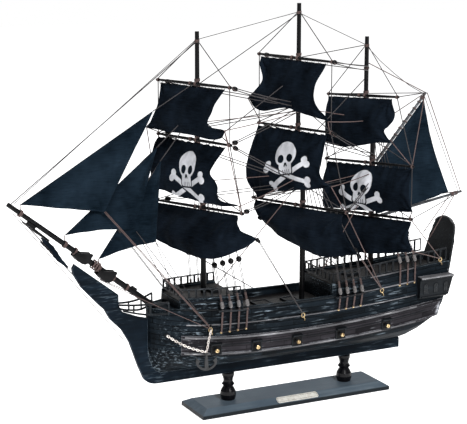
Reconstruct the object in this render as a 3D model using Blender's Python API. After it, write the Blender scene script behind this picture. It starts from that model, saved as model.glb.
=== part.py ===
"""Display model of a three-masted sailing ship with black sails, on a stand of two turned pillars.

Metres, +Z up. The bow points along -X and the port side along -Y. The origin is the middle of
the underside of the stand's board, so the model stands on the plane z = 0.
"""
import bpy
import bmesh
from math import sin, cos, pi, radians, sqrt, atan2
from mathutils import Vector, Matrix

# ---------------------------------------------------------------- driving dimensions (metres)
GAP = 0.0003                # clearance between two pieces that touch

# stand
BOARD_LENGTH = 0.283
BOARD_WIDTH = 0.069
BOARD_EDGE = 0.0052         # upright edge below the bevel
BOARD_HEIGHT = 0.0110
BEVEL_RUN = 0.0105          # how far the bevel leans in
PILLAR_SPREAD = 0.178       # pillar centre to pillar centre
PILLAR_RADIUS = 0.0108      # at the bulb
SCREW_RADIUS = 0.0012
SCREW_HEAD_RADIUS = 0.0030
SCREW_GRIP = 0.008          # length of the screw inside the keel
PLATE_LENGTH = 0.062
PLATE_HEIGHT = 0.0100
PLATE_THICKNESS = 0.0006

# hull
KEEL_BOTTOM = 0.048         # underside of the keel above the floor
KEEL_DEPTH = 0.014
KEEL_THICKNESS = 0.0052
KEEL_END_X = 0.176
BOW_X = -0.2045
STERN_X = 0.2175
MIDSHIP_X = -0.060
HALF_BEAM = 0.047
BOW_FULLNESS = 2.6
STERN_TAPER = 0.22
BULWARK = 0.0030            # thickness of the sides above the decks
STERN_RAKE = 0.26
STERN_RAKE_Z = 0.100
SHEER_Z = 0.163             # top of the sides amidships
WAIST_LIP = 0.0020          # the waist bulwark ends this far above the line of the channels
CHANNEL_Z = 0.1445
MID_RAIL_Z = 0.1265
WALE_HIGH_Z = 0.1085
WALE_LOW_Z = 0.0860
HEAD_DECK_Z = 0.1500
FORECASTLE_DECK_Z = 0.1600
WAIST_DECK_Z = 0.1340
QUARTER_DECK_Z = 0.1600
BULKHEAD_X = -0.1710        # front of the forecastle
FORECASTLE_END_X = -0.0885
QUARTERDECK_X = 0.0450
DECK_THICKNESS = 0.0012
WALE_PROUD = 0.0022
WALE_HEIGHT = 0.0038
TRANSOM_THICKNESS = 0.0030
TRANSOM_TOP_Z = 0.2280
FOREFOOT = 0.019            # length of the rounded lower corner of the bow
TUCK = 0.070                # length over which the bottom sweeps up to the stern
TUCK_RISE = 0.040
STEP = 0.0005               # thickness of the upright face where one deck steps to the next
CHANNELS = {"fore": (-0.1250, -0.0830), "main": (0.0470, 0.0920)}
CHANNEL_REACH = 0.0065
CHANNEL_THICKNESS = 0.0018
BALUSTER_SPACING = 0.011
RAIL_THICKNESS = 0.0017
POST_HALF = 0.0012          # more than half the rail's thickness, so that corners stay open
FORECASTLE_RAIL_HEIGHT = 0.0125
QUARTER_RAIL_Z = 0.1760     # top of the rail at the front of the quarterdeck
QUARTER_RAIL_RISE = 0.085   # rise of that rail for each metre aft
RAIL_BAR = 0.0016           # height of a balustrade's upper and lower bar
RAIL_INSET = 0.0022         # a balustrade's front, behind the front of its deck
HEAD_RAIL_HALF = 0.0011
HEAD_RAIL_END_X = -0.1860   # where the head rails meet the bow
HEAD_RAIL_OFF = 0.0026      # the head rails' middle off the planking and off the knee
FOREFOOT_CLIMB = 0.036      # rise of the planking over the rounded forefoot
GALLERY_LENGTH = 0.0370     # quarter gallery, ahead of the transom
GALLERY_PAST = 0.0025       # and past it
# quarter gallery's outer outline as (z, distance off the planking)
GALLERY = ((0.1250, 0.0020), (0.1290, 0.0075), (0.1530, 0.0095), (0.1530, 0.0115),
           (0.1560, 0.0115))
# transom's half outline as (height up the board, share of the hull's half breadth there)
TRANSOM = ((0.002, 0.79), (0.018, 0.94), (0.045, 0.93), (0.066, 0.89), (0.096, 0.79),
           (0.102, 0.79), (0.106, 0.73), (0.112, 0.70))
# keel board, in its own plane as (x, z): the rounded toe, then the cutwater up to the knee's
# upper end, then the knee's upper edge back to the bow
TOE_X = -0.1920
TOE_RUN = 0.0200
TOE_RISE = 0.0135
CUTWATER = ((-0.2180, 0.0740), (-0.2250, 0.0940), (-0.2300, 0.1080), (-0.2400, 0.1255),
            (-0.2560, 0.1420), (-0.2630, 0.1550), (-0.2720, 0.1640), (-0.2930, 0.1870),
            (-0.3035, 0.2050), (-0.3050, 0.2130), (-0.3015, 0.2185))
KNEE_TOP = ((-0.2440, 0.1730), (-0.2440, 0.1590), (-0.2385, 0.1490), (-0.2160, 0.1400))
KNEE_HEEL_Z = 0.1370
# head rails as (x, y, z), their fore ends against the knee
HEAD_RAIL_TOP = ((-0.2260, 0.0090, 0.1585), (-0.2060, 0.0160, 0.1590))
HEAD_RAIL_FOOT = ((-0.2260, 0.0080, 0.1480), (-0.2060, 0.0150, 0.1450))

# spars
LOWER_MAST_RADIUS = 0.0037
TOPMAST_RADIUS = 0.0031
BOWSPRIT_RADIUS = 0.0040
YARD_RADIUS = 0.0021
MAST_SOCKET = 0.012
BRACE = radians(17.0)       # how far the yards are swung, port ends aft
BOWSPRIT_TIP = Vector((-0.3847, 0.0, 0.3014))
BOWSPRIT_STEEVE = radians(38.3)
BOWSPRIT_HEEL_X = -0.1905

# cloth and cord
SAIL_THICKNESS = 0.0010
STAY_RADIUS = 0.00045
CHAIN_RADIUS = 0.0008
ANCHOR_THICKNESS = 0.0022

# masts: lower mast x, gap to the topmast, floor z, lower mast top, topmast foot, topmast top
MASTS = {
    "fore": (-0.1245, 0.0007, FORECASTLE_DECK_Z, 0.355, 0.296, 0.500),
    "main": (0.0215, 0.0012, WAIST_DECK_Z, 0.350, 0.290, 0.531),
    "mizzen": (0.1285, 0.0052, QUARTER_DECK_Z, 0.396, 0.348, 0.484),
}
# yards: mast, spar it hangs on, height, half length, tilt in degrees (port end up)
YARDS = {
    "fore_topgallant": ("fore", "top", 0.4347, 0.0707, 0.7),
    "fore_topsail": ("fore", "top", 0.3636, 0.0710, 0.2),
    "fore_course": ("fore", "lower", 0.2757, 0.0840, 2.2),
    "main_topgallant": ("main", "top", 0.4606, 0.0690, -0.3),
    "main_topsail": ("main", "top", 0.3691, 0.0690, 0.5),
    "main_course": ("main", "lower", 0.2651, 0.0890, 1.5),
    "mizzen_topgallant": ("mizzen", "top", 0.4057, 0.0640, 3.2),
    "mizzen_topsail": ("mizzen", "lower", 0.3140, 0.0800, 3.0),
    "mizzen_course": ("mizzen", "lower", 0.2430, 0.0800, 3.0),
}
# square sails: half width at the head, share drawn in at mid height, belly, and the foot's
# starboard clew, middle and port clew as (distance along the yard, drop, distance forward)
SAILS = {
    "fore_topgallant": (0.0640, 0.18, 0.006,
                        ((-0.068, 0.060, 0.020), (0.0, 0.062, 0.016), (0.066, 0.062, 0.012))),
    "fore_topsail": (0.0640, 0.10, 0.008,
                     ((-0.072, 0.066, 0.015), (0.0, 0.071, 0.015), (0.075, 0.064, 0.015))),
    "fore_course": (0.0760, 0.02, 0.018,
                    ((-0.081, 0.034, 0.020), (0.0, 0.054, 0.030), (0.112, 0.028, 0.006))),
    "main_topgallant": (0.0625, 0.20, 0.006,
                        ((-0.062, 0.068, 0.024), (0.0, 0.064, 0.014), (0.073, 0.073, 0.010))),
    "main_topsail": (0.0640, 0.05, 0.010,
                     ((-0.064, 0.096, 0.012), (0.0, 0.081, 0.012), (0.080, 0.068, 0.010))),
    "main_course": (0.0810, 0.00, 0.018,
                    ((-0.063, 0.022, 0.014), (0.0, 0.046, 0.024), (0.117, 0.048, 0.010))),
    "mizzen_topgallant": (0.0570, -0.06, 0.008,
                          ((-0.062, 0.064, 0.012), (0.0, 0.060, 0.014), (0.062, 0.055, 0.006))),
    "mizzen_topsail": (0.0740, 0.03, 0.008,
                       ((-0.076, 0.066, 0.010), (0.0, 0.064, 0.012), (0.080, 0.058, 0.008))),
    "mizzen_course": (0.0740, 0.03, 0.010,
                      ((-0.072, 0.050, 0.012), (0.0, 0.052, 0.014), (0.078, 0.046, 0.008))),
}
# fore-and-aft sails: tack, head and clew as (x, y, z)
JIBS = {
    "outer_jib": ((-0.3690, 0.0, 0.2995), (-0.1930, 0.0, 0.4030), (-0.2660, -0.0150, 0.2840)),
    "middle_jib": ((-0.3130, 0.0, 0.2560), (-0.1880, 0.0, 0.3570), (-0.2230, -0.0100, 0.2560)),
    "inner_jib": ((-0.2690, 0.0, 0.2215), (-0.1830, 0.0, 0.3400), (-0.1930, -0.0040, 0.2370)),
}
# spanker's corners: throat, peak, tack and clew
SPANKER = (Vector((0.1355, 0, 0.3105)), Vector((0.2085, 0, 0.3950)),
           Vector((0.1355, 0, 0.2420)), Vector((0.2540, 0, 0.2620)))
SPANKER_BULGE = 0.007
JIB_BELLY = 0.006
GAFF = (Vector((0.1345, 0.0, 0.3146)), Vector((0.2120, 0.0, 0.4040)))
BOOM = (Vector((0.1345, 0.0, 0.2375)), Vector((0.2755, 0.0, 0.2612)))

# anchors: places on the hull that hold the two ends of each chain
HAWSE = (-0.1880, 0.1180, 0.0025)       # x, z and distance off the planking
HOOK = (-0.1357, 0.1240, 0.0045)
ANCHOR_X = -0.1420
ANCHOR_RING_Z = 0.0945
ANCHOR_LENGTH = 0.0235
ANCHOR_SPAN = 0.0280

FINISHES = {
    "board_paint": ((0.075, 0.110, 0.140), 0.55, 0.0),
    "pillar_gloss": ((0.006, 0.006, 0.008), 0.15, 0.0),
    "hull_paint": ((0.018, 0.026, 0.034), 0.55, 0.0),
    "trim_paint": ((0.012, 0.013, 0.016), 0.50, 0.0),
    "spar_paint": ((0.008, 0.008, 0.010), 0.45, 0.0),
    "sail_cloth": ((0.010, 0.016, 0.024), 0.90, 0.0),
    "cordage": ((0.060, 0.040, 0.035), 0.90, 0.0),
    "brass": ((0.600, 0.420, 0.160), 0.30, 1.0),
    "steel": ((0.550, 0.550, 0.560), 0.35, 1.0),
}


# ---------------------------------------------------------------- small helpers
def finish(name):
    """The material of that name, made on first use."""
    if name in bpy.data.materials:
        return bpy.data.materials[name]
    colour, roughness, metallic = FINISHES[name]
    material = bpy.data.materials.new(name)
    material.use_nodes = True
    shader = material.node_tree.nodes["Principled BSDF"]
    shader.inputs["Base Color"].default_value = (*colour, 1.0)
    shader.inputs["Roughness"].default_value = roughness
    shader.inputs["Metallic"].default_value = metallic
    return material


def make_object(name, verts, faces, material, smooth_angle=None):
    """An object from vertices and faces, its normals turned outwards."""
    mesh = bpy.data.meshes.new(name)
    mesh.from_pydata([tuple(v) for v in verts], [], faces)
    work = bmesh.new()
    work.from_mesh(mesh)
    bmesh.ops.recalc_face_normals(work, faces=work.faces)
    if work.calc_volume(signed=True) < 0:
        bmesh.ops.reverse_faces(work, faces=work.faces)
    work.to_mesh(mesh)
    work.free()
    if smooth_angle is not None:
        mesh.shade_smooth()
        mesh.set_sharp_from_angle(angle=radians(smooth_angle))
    mesh.materials.append(finish(material))
    thing = bpy.data.objects.new(name, mesh)
    bpy.context.scene.collection.objects.link(thing)
    return thing


def loft(name, rings, material, smooth_angle=None):
    """A closed solid through rings of equal length, capped at both ends."""
    verts = [point for ring in rings for point in ring]
    count = len(rings[0])
    faces = []
    for i in range(len(rings) - 1):
        for j in range(count):
            a = i * count + j
            b = i * count + (j + 1) % count
            faces.append((a, b, b + count, a + count))
    faces.append(tuple(range(count)))
    last = (len(rings) - 1) * count
    faces.append(tuple(range(last, last + count)))
    return make_object(name, verts, faces, material, smooth_angle)


def plate(name, outline, thickness, place, material):
    """A flat outline of (a, b) points, thickened both ways and put in space by place(a, b, t)."""
    rings = [[place(a, b, side * thickness / 2) for a, b in outline] for side in (-1, 1)]
    return loft(name, rings, material)


def frame_along(direction):
    """Two unit vectors square to a direction."""
    direction = direction.normalized()
    side = Vector((0, 0, 1)) if abs(direction.z) < 0.9 else Vector((1, 0, 0))
    across = direction.cross(side).normalized()
    return across, across.cross(direction).normalized()


def spar(name, start, end, radii, material="spar_paint", sides=12):
    """A round pole; radii are (share of the length, radius) pairs from start to end."""
    across, up = frame_along(end - start)
    rings = []
    for share, radius in radii:
        centre = start.lerp(end, share)
        rings.append([centre + radius * (cos(a) * across + sin(a) * up)
                      for a in (2 * pi * k / sides for k in range(sides))])
    return loft(name, rings, material, 40)


def turned(name, profile, centre, material, sides=24, bore=0.0):
    """A piece turned on a lathe round an upright axis, from (radius, z) pairs, with a bore."""
    outline = [(bore, profile[0][1])] + list(profile) + [(bore, profile[-1][1])]
    verts = []
    for k in range(sides):
        a = 2 * pi * k / sides
        verts += [(centre[0] + r * cos(a), centre[1] + r * sin(a), z) for r, z in outline]
    count = len(outline)
    faces = []
    for k in range(sides):
        for j in range(count):
            a = k * count + j
            b = k * count + (j + 1) % count
            c = (k + 1) % sides * count + (j + 1) % count
            d = (k + 1) % sides * count + j
            faces.append((a, b, c, d))
    return make_object(name, verts, faces, material, 35)


def cord(name, points, radius, material):
    """A round cord through points."""
    curve = bpy.data.curves.new(name, "CURVE")
    curve.dimensions = "3D"
    curve.bevel_depth = radius
    curve.bevel_resolution = 2
    curve.use_fill_caps = True
    spline = curve.splines.new("POLY")
    spline.points.add(len(points) - 1)
    for slot, point in zip(spline.points, points):
        slot.co = (*point, 1.0)
    curve.materials.append(finish(material))
    thing = bpy.data.objects.new(name, curve)
    bpy.context.scene.collection.objects.link(thing)
    return thing


def smooth_route(knots, steps):
    """Points on a smooth curve through knots, with steps points to each stretch."""
    padded = [2 * knots[0] - knots[1]] + knots + [2 * knots[-1] - knots[-2]]
    route = []
    for i in range(1, len(padded) - 2):
        a, b, c, d = padded[i - 1:i + 3]
        for k in range(steps):
            t = k / steps
            route.append(0.5 * (2 * b + (c - a) * t + (2 * a - 5 * b + 4 * c - d) * t * t
                                + (3 * b - 3 * c + d - a) * t ** 3))
    route.append(knots[-1])
    return route


def make_tool(thing):
    """Turn an object into a shape that only cuts or joins others."""
    thing.hide_render = True
    thing.display_type = "WIRE"
    return thing


def combine(thing, tool, operation):
    """Cut a tool from an object, or join it on."""
    step = thing.modifiers.new(operation.title(), "BOOLEAN")
    step.operation = operation
    step.solver = "EXACT"
    step.object = make_tool(tool)


# ---------------------------------------------------------------- hull lines
def sheer_rise(height, x, curve=0.25):
    """A line along the side that is lowest amidships."""
    return height + curve * x * x


def sheer(x):
    """Top of the hull's side."""
    return sheer_rise(SHEER_Z, x, 0.20 if x > 0 else 0.07)


def half_breadth(x):
    """Widest half breadth of the hull."""
    if x < MIDSHIP_X:
        share = min((MIDSHIP_X - x) / (MIDSHIP_X - BOW_X), 1.0)
        wide = HALF_BEAM * sqrt(1 - share ** BOW_FULLNESS)
    else:
        share = (x - MIDSHIP_X) / (STERN_X - MIDSHIP_X)
        wide = HALF_BEAM * (1 - STERN_TAPER * share ** 2)
    return max(wide, KEEL_THICKNESS / 2)


def bottom(x):
    """Underside of the planking, where it meets the keel."""
    flat = KEEL_BOTTOM + KEEL_DEPTH
    ahead = (BOW_X + FOREFOOT - x) / (FOREFOOT * 1.03)
    behind = (x - STERN_X + TUCK) / TUCK
    if ahead > 0:
        return flat + FOREFOOT_CLIMB * (1 - sqrt(1 - ahead ** 2))
    if behind > 0:
        return flat + TUCK_RISE * behind ** 4
    return flat


def section(x, top):
    """Half outline of the hull at x as (y, z), from the keel to the top of the side."""
    wide = half_breadth(x)
    low = sheer_rise(WALE_LOW_Z, x)
    floor = min(bottom(x), low - 0.002)
    fineness = 1 - 0.55 * max(0.0, (MIDSHIP_X - x) / (MIDSHIP_X - BOW_X)) ** 4
    outline = [
        (KEEL_THICKNESS / 2, floor),
        (wide * 0.52 * fineness, floor + 0.28 * (low - floor)),
        (wide * 0.84 * fineness ** 0.5, floor + 0.64 * (low - floor)),
        (wide * 0.97, low),
        (wide, sheer_rise(WALE_HIGH_Z, x)),
        (wide * 0.985, sheer_rise(MID_RAIL_Z, x)),
        (wide * 0.94, min(sheer_rise(CHANNEL_Z, x, 0.2), top - 0.002)),
        (wide * 0.90, top),
    ]
    return [(max(y, KEEL_THICKNESS / 2), z) for y, z in outline]


def side_y(x, z):
    """Half breadth of the planking at x and height z."""
    outline = section(x, sheer(x))
    for (y0, z0), (y1, z1) in zip(outline, outline[1:]):
        if z <= z1:
            return y0 + (y1 - y0) * (z - z0) / (z1 - z0)
    return outline[-1][0]


def raked_x(x, z):
    """The stern leans aft with height."""
    lean = max(0.0, (x - STERN_X + 0.045) / 0.045)
    return x + STERN_RAKE * (z - STERN_RAKE_Z) * lean ** 2


def spread(start, end, count):
    """Evenly spaced values, both ends included."""
    return [start + (end - start) * k / count for k in range(count + 1)]


BOW_STATIONS = [BOW_X + (BULKHEAD_X - STEP - BOW_X) * (k / 6) ** 1.7 for k in range(7)]
FORECASTLE_STATIONS = spread(BULKHEAD_X, FORECASTLE_END_X - STEP, 4)
WAIST_STATIONS = spread(FORECASTLE_END_X, QUARTERDECK_X - STEP, 4)
QUARTER_STATIONS = spread(QUARTERDECK_X, STERN_X, 8)


def zone_top(x):
    """Top of the side at x, low in the waist and at the platform ahead of the bulkhead."""
    if x < BULKHEAD_X:
        return HEAD_DECK_Z + 0.0015
    if FORECASTLE_END_X <= x < QUARTERDECK_X:
        return sheer_rise(CHANNEL_Z, x, 0.2) + WAIST_LIP
    return sheer(x)


def zone_floor(x):
    """Height of the solid hull below each deck."""
    if x < BULKHEAD_X:
        return HEAD_DECK_Z
    if x < FORECASTLE_END_X:
        return FORECASTLE_DECK_Z
    return WAIST_DECK_Z if x < QUARTERDECK_X else QUARTER_DECK_Z


def build_hull():
    rings = []
    for x in BOW_STATIONS + FORECASTLE_STATIONS + WAIST_STATIONS + QUARTER_STATIONS:
        outline = section(x, zone_top(x))
        edge_y, edge_z = outline[-1]
        inner = max(edge_y - BULWARK, edge_y * 0.5)
        outline += [(inner, edge_z), (inner, zone_floor(x))]
        half = [Vector((raked_x(x, z), y, z)) for y, z in outline]
        other = [Vector((p.x, -p.y, p.z)) for p in reversed(half)]
        rings.append(half + other)
    return loft("hull", rings, "hull_paint", 25)


def build_deck(name, stations):
    """A laid deck between the bulwarks."""
    rings = []
    trimmed = [stations[0] + STEP + GAP] + stations[1:-1] + [stations[-1] - GAP]
    for x in trimmed:
        outline = section(x, zone_top(x))
        half = outline[-1][0] - BULWARK - GAP
        low = zone_floor(x) + GAP
        high = low + DECK_THICKNESS
        rings.append([Vector((raked_x(x, z), y, z))
                      for y, z in ((-half, low), (half, low), (half, high), (-half, high))])
    return loft(name, rings, "hull_paint")


def build_keel():
    """Keel, stem and the knee under the bowsprit, sawn from one board."""
    toe = [(TOE_X - TOE_RUN * sin(a), KEEL_BOTTOM + TOE_RISE * (1 - cos(a)))
           for a in (radians(15 * k) for k in range(6))]
    inner = [(x, bottom(x) - GAP) for x in BOW_STATIONS[1:]]
    outline = [(KEEL_END_X, KEEL_BOTTOM)] + toe + list(CUTWATER) + list(KNEE_TOP)
    outline += [(BOW_X - GAP, KNEE_HEEL_Z), (BOW_X - GAP, bottom(BOW_X) - GAP)]
    outline += inner + [(STERN_X - TUCK, bottom(0.0) - GAP)]
    outline += [(KEEL_END_X, bottom(0.0) - GAP)]
    return plate("keel_and_stem", outline, KEEL_THICKNESS,
                 lambda a, b, t: Vector((a, t, b)), "hull_paint")


def build_gun_belt(name, side):
    """The upper and lower wale with the planking between them, along one side."""
    half = WALE_HEIGHT / 2
    rings = []
    stations = BOW_STATIONS[-1:] + FORECASTLE_STATIONS[1:] + WAIST_STATIONS[1:] + QUARTER_STATIONS[1:]
    for x in stations[:-1] + [stations[-1] - 0.002]:
        low = sheer_rise(WALE_LOW_Z, x)
        high = sheer_rise(WALE_HIGH_Z, x)
        marks = [(low - half, GAP), (low, GAP), (high, GAP), (high + half, GAP),
                 (high + half, WALE_PROUD), (high - half, WALE_PROUD), (high - half, 0.0011),
                 (low + half, 0.0011), (low + half, WALE_PROUD), (low - half, WALE_PROUD)]
        rings.append([Vector((raked_x(x, z), side * (side_y(x, z) + proud), z))
                      for z, proud in marks])
    return loft(name, rings, "hull_paint")


def build_channel(name, span, side):
    """A board on the hull's side that spreads the lower ends of the shrouds."""
    rings = []
    for x in spread(span[0], span[1], 4):
        z = sheer_rise(CHANNEL_Z, x, 0.2)
        root = side_y(x, z - CHANNEL_THICKNESS / 2) + GAP * 1.5
        rings.append([Vector((x, side * y, z + h)) for y, h in
                      ((root, -CHANNEL_THICKNESS / 2), (root + CHANNEL_REACH, -CHANNEL_THICKNESS / 2),
                       (root + CHANNEL_REACH, CHANNEL_THICKNESS / 2), (root, CHANNEL_THICKNESS / 2))])
    return loft(name, rings, "trim_paint")


# ---------------------------------------------------------------- rails
def build_balustrade(name, path, low, high):
    """A rail on square posts along a plan path; low(x) and high(x) give its lower and upper edge."""
    spans = []
    for start, end in zip(path, path[1:]):
        length = (end - start).length
        bays = max(1, round(length / BALUSTER_SPACING))
        for k in range(bays):
            a = start.lerp(end, k / bays)
            b = start.lerp(end, (k + 1) / bays)
            post = POST_HALF / (length / bays)
            spans += [a, a.lerp(b, post), a.lerp(b, 1 - post)]
    spans.append(path[-1])
    rows = 4
    verts = []
    for i, point in enumerate(spans):
        before = spans[max(i - 1, 0)]
        after = spans[min(i + 1, len(spans) - 1)]
        lead = (point - before).normalized() if i else (after - point).normalized()
        trail = (after - point).normalized() if i < len(spans) - 1 else lead
        normal = Vector((-(lead.y + trail.y), lead.x + trail.x)).normalized()
        stretch = 1 / max(0.5, cos(lead.angle(trail) / 2)) if lead.length and trail.length else 1
        bottom_z = low(point.x)
        top_z = high(point.x)
        for z in (bottom_z, bottom_z + RAIL_BAR, top_z - RAIL_BAR, top_z):
            for side in (-1, 1):
                spot = point + normal * side * RAIL_THICKNESS / 2 * stretch
                verts.append((spot.x, spot.y, z))

    def corner(i, row, side):
        return (i * rows + row) * 2 + side

    faces = []

    def filled(i, row):
        if i < 0 or i >= len(spans) - 1 or row < 0 or row > 2:
            return False
        return row != 1 or i % 3 != 1

    for i in range(len(spans) - 1):
        for row in range(3):
            if not filled(i, row):
                continue
            for side in (0, 1):
                faces.append((corner(i, row, side), corner(i + 1, row, side),
                              corner(i + 1, row + 1, side), corner(i, row + 1, side)))
            if not filled(i, row - 1):
                faces.append((corner(i, row, 0), corner(i + 1, row, 0),
                              corner(i + 1, row, 1), corner(i, row, 1)))
            if not filled(i, row + 1):
                faces.append((corner(i, row + 1, 0), corner(i + 1, row + 1, 0),
                              corner(i + 1, row + 1, 1), corner(i, row + 1, 1)))
            if not filled(i - 1, row):
                faces.append((corner(i, row, 0), corner(i, row + 1, 0),
                              corner(i, row + 1, 1), corner(i, row, 1)))
            if not filled(i + 1, row):
                faces.append((corner(i + 1, row, 0), corner(i + 1, row + 1, 0),
                              corner(i + 1, row + 1, 1), corner(i + 1, row, 1)))
    return make_object(name, verts, faces, "trim_paint")


def bulwark_y(x):
    """Middle of the bulwark's top."""
    return section(x, zone_top(x))[-1][0] - BULWARK / 2


def build_forecastle_rail():
    front = BULKHEAD_X + RAIL_INSET
    stations = [front] + FORECASTLE_STATIONS[1:-1] + [FORECASTLE_END_X - 0.002]
    starboard = [Vector((x, bulwark_y(x))) for x in stations]
    port = [Vector((p.x, -p.y)) for p in starboard]
    path = list(reversed(starboard)) + port
    return build_balustrade("forecastle_rail", path, lambda x: sheer(x) + GAP,
                            lambda x: sheer(x) + FORECASTLE_RAIL_HEIGHT)


def build_quarterdeck_rail():
    front = QUARTERDECK_X + RAIL_INSET
    stations = [front] + QUARTER_STATIONS[1:-1] + [STERN_X - 0.003]
    starboard = [Vector((raked_x(x, sheer(x)), bulwark_y(x))) for x in stations]
    port = [Vector((p.x, -p.y)) for p in starboard]
    path = list(reversed(starboard)) + port
    return build_balustrade("quarterdeck_rail", path, lambda x: sheer(x) + GAP,
                            lambda x: QUARTER_RAIL_Z + QUARTER_RAIL_RISE * (x - QUARTERDECK_X))


def build_head_rail(name, side):
    """The open rails from the bow to the knee, with three uprights."""
    reach = HEAD_RAIL_OFF + KEEL_THICKNESS / 2
    edge = side_y(HEAD_RAIL_END_X, HEAD_DECK_Z - 0.004) + HEAD_RAIL_OFF
    upper = [Vector((-0.2450, reach, 0.1600))] + [Vector(p) for p in HEAD_RAIL_TOP]
    upper.append(Vector((HEAD_RAIL_END_X, edge, 0.1615)))
    lower = [Vector((-0.2395, reach, 0.1520))] + [Vector(p) for p in HEAD_RAIL_FOOT]
    lower.append(Vector((HEAD_RAIL_END_X, edge, 0.1475)))

    def rail(label, points):
        rings = []
        across = Vector((0, HEAD_RAIL_HALF, 0))
        rise = Vector((0, 0, HEAD_RAIL_HALF))
        for point in points:
            rings.append([Vector((p.x, side * p.y, p.z)) for p in
                          (point - across - rise, point + across - rise,
                           point + across + rise, point - across + rise)])
        return loft(label, rings, "trim_paint")

    body = rail(name, smooth_route(upper, 3))
    combine(body, rail(name + "_lower", smooth_route(lower, 3)), "UNION")
    for k, (top, foot) in enumerate(zip(upper[1:], lower[1:])):
        rings = [[Vector((p.x + dx, side * (p.y + dy), p.z)) for dx, dy in
                  ((-0.0009, -0.0008), (0.0009, -0.0008), (0.0009, 0.0008), (-0.0009, 0.0008))]
                 for p in (top, foot)]
        combine(body, loft(f"{name}_upright_{k}", rings, "trim_paint"), "UNION")
    return body


# ---------------------------------------------------------------- stern
def build_transom():
    """The raked stern board with its arched top."""
    angle = atan2(STERN_RAKE, 1.0)
    base = Vector((STERN_X, 0, STERN_RAKE_Z))
    up = Vector((sin(angle), 0, cos(angle)))
    out = Vector((cos(angle), 0, -sin(angle)))
    height = (TRANSOM_TOP_Z - STERN_RAKE_Z) / cos(angle)
    wide = half_breadth(STERN_X)
    widths = [(h, wide * share) for h, share in TRANSOM]
    spring, span = widths[-1]
    arch = [(span * cos(a), spring + (height - spring) * sin(a))
            for a in (radians(15 * k) for k in range(1, 12))]
    outline = [(w, h) for h, w in widths] + arch + [(-w, h) for h, w in reversed(widths)]
    middle = GAP + TRANSOM_THICKNESS / 2
    return plate("transom", outline, TRANSOM_THICKNESS,
                 lambda a, b, t: base + up * b + out * (middle + t) + Vector((0, a, 0)),
                 "trim_paint")


def build_gallery(name, side):
    """The windowed box on each side of the stern."""
    foot, top = GALLERY[0][0], GALLERY[-1][0]
    rings = []
    for x in spread(STERN_X - GALLERY_LENGTH, STERN_X + GALLERY_PAST, 3):
        inner = [Vector((raked_x(x, z), side * (side_y(x, z) + GAP * 1.6), z)) for z in
                 (foot, sheer_rise(MID_RAIL_Z, x), sheer_rise(CHANNEL_Z, x, 0.2), top)]
        outer = [Vector((raked_x(x, z), side * (side_y(x, z) + reach), z)) for z, reach in GALLERY]
        rings.append(inner + list(reversed(outer)))
    return loft(name, rings, "trim_paint")


# ---------------------------------------------------------------- spars
def bowsprit_axis():
    return Vector((cos(BOWSPRIT_STEEVE), 0, -sin(BOWSPRIT_STEEVE)))


def topmast_x(name):
    """Each topmast stands ahead of its lower mast."""
    lower_x, gap = MASTS[name][:2]
    return lower_x - LOWER_MAST_RADIUS - TOPMAST_RADIUS - gap


def build_masts(holes_in):
    """Lower masts stepped in the hull, and topmasts lashed ahead of them."""
    for name, (lower_x, gap, floor, head, foot, top) in MASTS.items():
        top_x = topmast_x(name)
        start = Vector((lower_x, 0, floor - MAST_SOCKET + GAP))
        pole = spar(f"{name}_lower_mast", start, Vector((lower_x, 0, head)),
                    ((0, LOWER_MAST_RADIUS), (1, LOWER_MAST_RADIUS * 0.92)))
        if gap > 0.002:
            ahead = top_x + TOPMAST_RADIUS + GAP
            block = [Vector((x, y, foot + 0.010 + h)) for h in (0.0, 0.006)
                     for x, y in ((ahead, -0.0025), (lower_x, -0.0025), (lower_x, 0.0025),
                                  (ahead, 0.0025))]
            combine(pole, loft(f"{name}_cheek", [block[:4], block[4:]], "spar_paint"), "UNION")
        spar(f"{name}_topmast", Vector((top_x, 0, foot)), Vector((top_x, 0, top)),
             ((0, TOPMAST_RADIUS), (0.7, TOPMAST_RADIUS * 0.96), (1, TOPMAST_RADIUS * 0.88)))
        hole = spar(f"{name}_mast_hole", Vector((lower_x, 0, floor - MAST_SOCKET)),
                    Vector((lower_x, 0, floor + 0.010)),
                    ((0, LOWER_MAST_RADIUS + GAP), (1, LOWER_MAST_RADIUS + GAP)))
        for thing in holes_in[name]:
            combine(thing, hole, "DIFFERENCE")


def yard_place(name):
    """Centre, direction to the port end, and forward direction of a yard."""
    mast, which, height, _, tilt = YARDS[name]
    radius = LOWER_MAST_RADIUS if which == "lower" else TOPMAST_RADIUS
    mast_x = MASTS[mast][0] if which == "lower" else topmast_x(mast)
    centre = Vector((mast_x - (radius + YARD_RADIUS + GAP * 1.3) / cos(BRACE), 0, height))
    slope = radians(tilt)
    to_port = Vector((sin(BRACE) * cos(slope), -cos(BRACE) * cos(slope), sin(slope)))
    return centre, to_port, Vector((-cos(BRACE), -sin(BRACE), 0))


def build_yards():
    for name, data in YARDS.items():
        centre, to_port, _ = yard_place(name)
        half = data[3]
        spar(f"{name}_yard", centre - to_port * half, centre + to_port * half,
             ((0, YARD_RADIUS * 0.72), (0.25, YARD_RADIUS * 0.9), (0.5, YARD_RADIUS),
              (0.75, YARD_RADIUS * 0.9), (1, YARD_RADIUS * 0.72)), sides=10)


def build_bowsprit(hull):
    axis = bowsprit_axis()
    length = (BOWSPRIT_HEEL_X - BOWSPRIT_TIP.x) / axis.x
    heel = BOWSPRIT_TIP + axis * length
    spar("bowsprit", BOWSPRIT_TIP, heel,
         ((0, BOWSPRIT_RADIUS * 0.70), (0.5, BOWSPRIT_RADIUS * 0.88), (1, BOWSPRIT_RADIUS)))
    hole = spar("bowsprit_hole", heel - axis * 0.040, heel + axis * GAP,
                ((0, BOWSPRIT_RADIUS + GAP), (1, BOWSPRIT_RADIUS + GAP)))
    combine(hull, hole, "DIFFERENCE")


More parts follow.
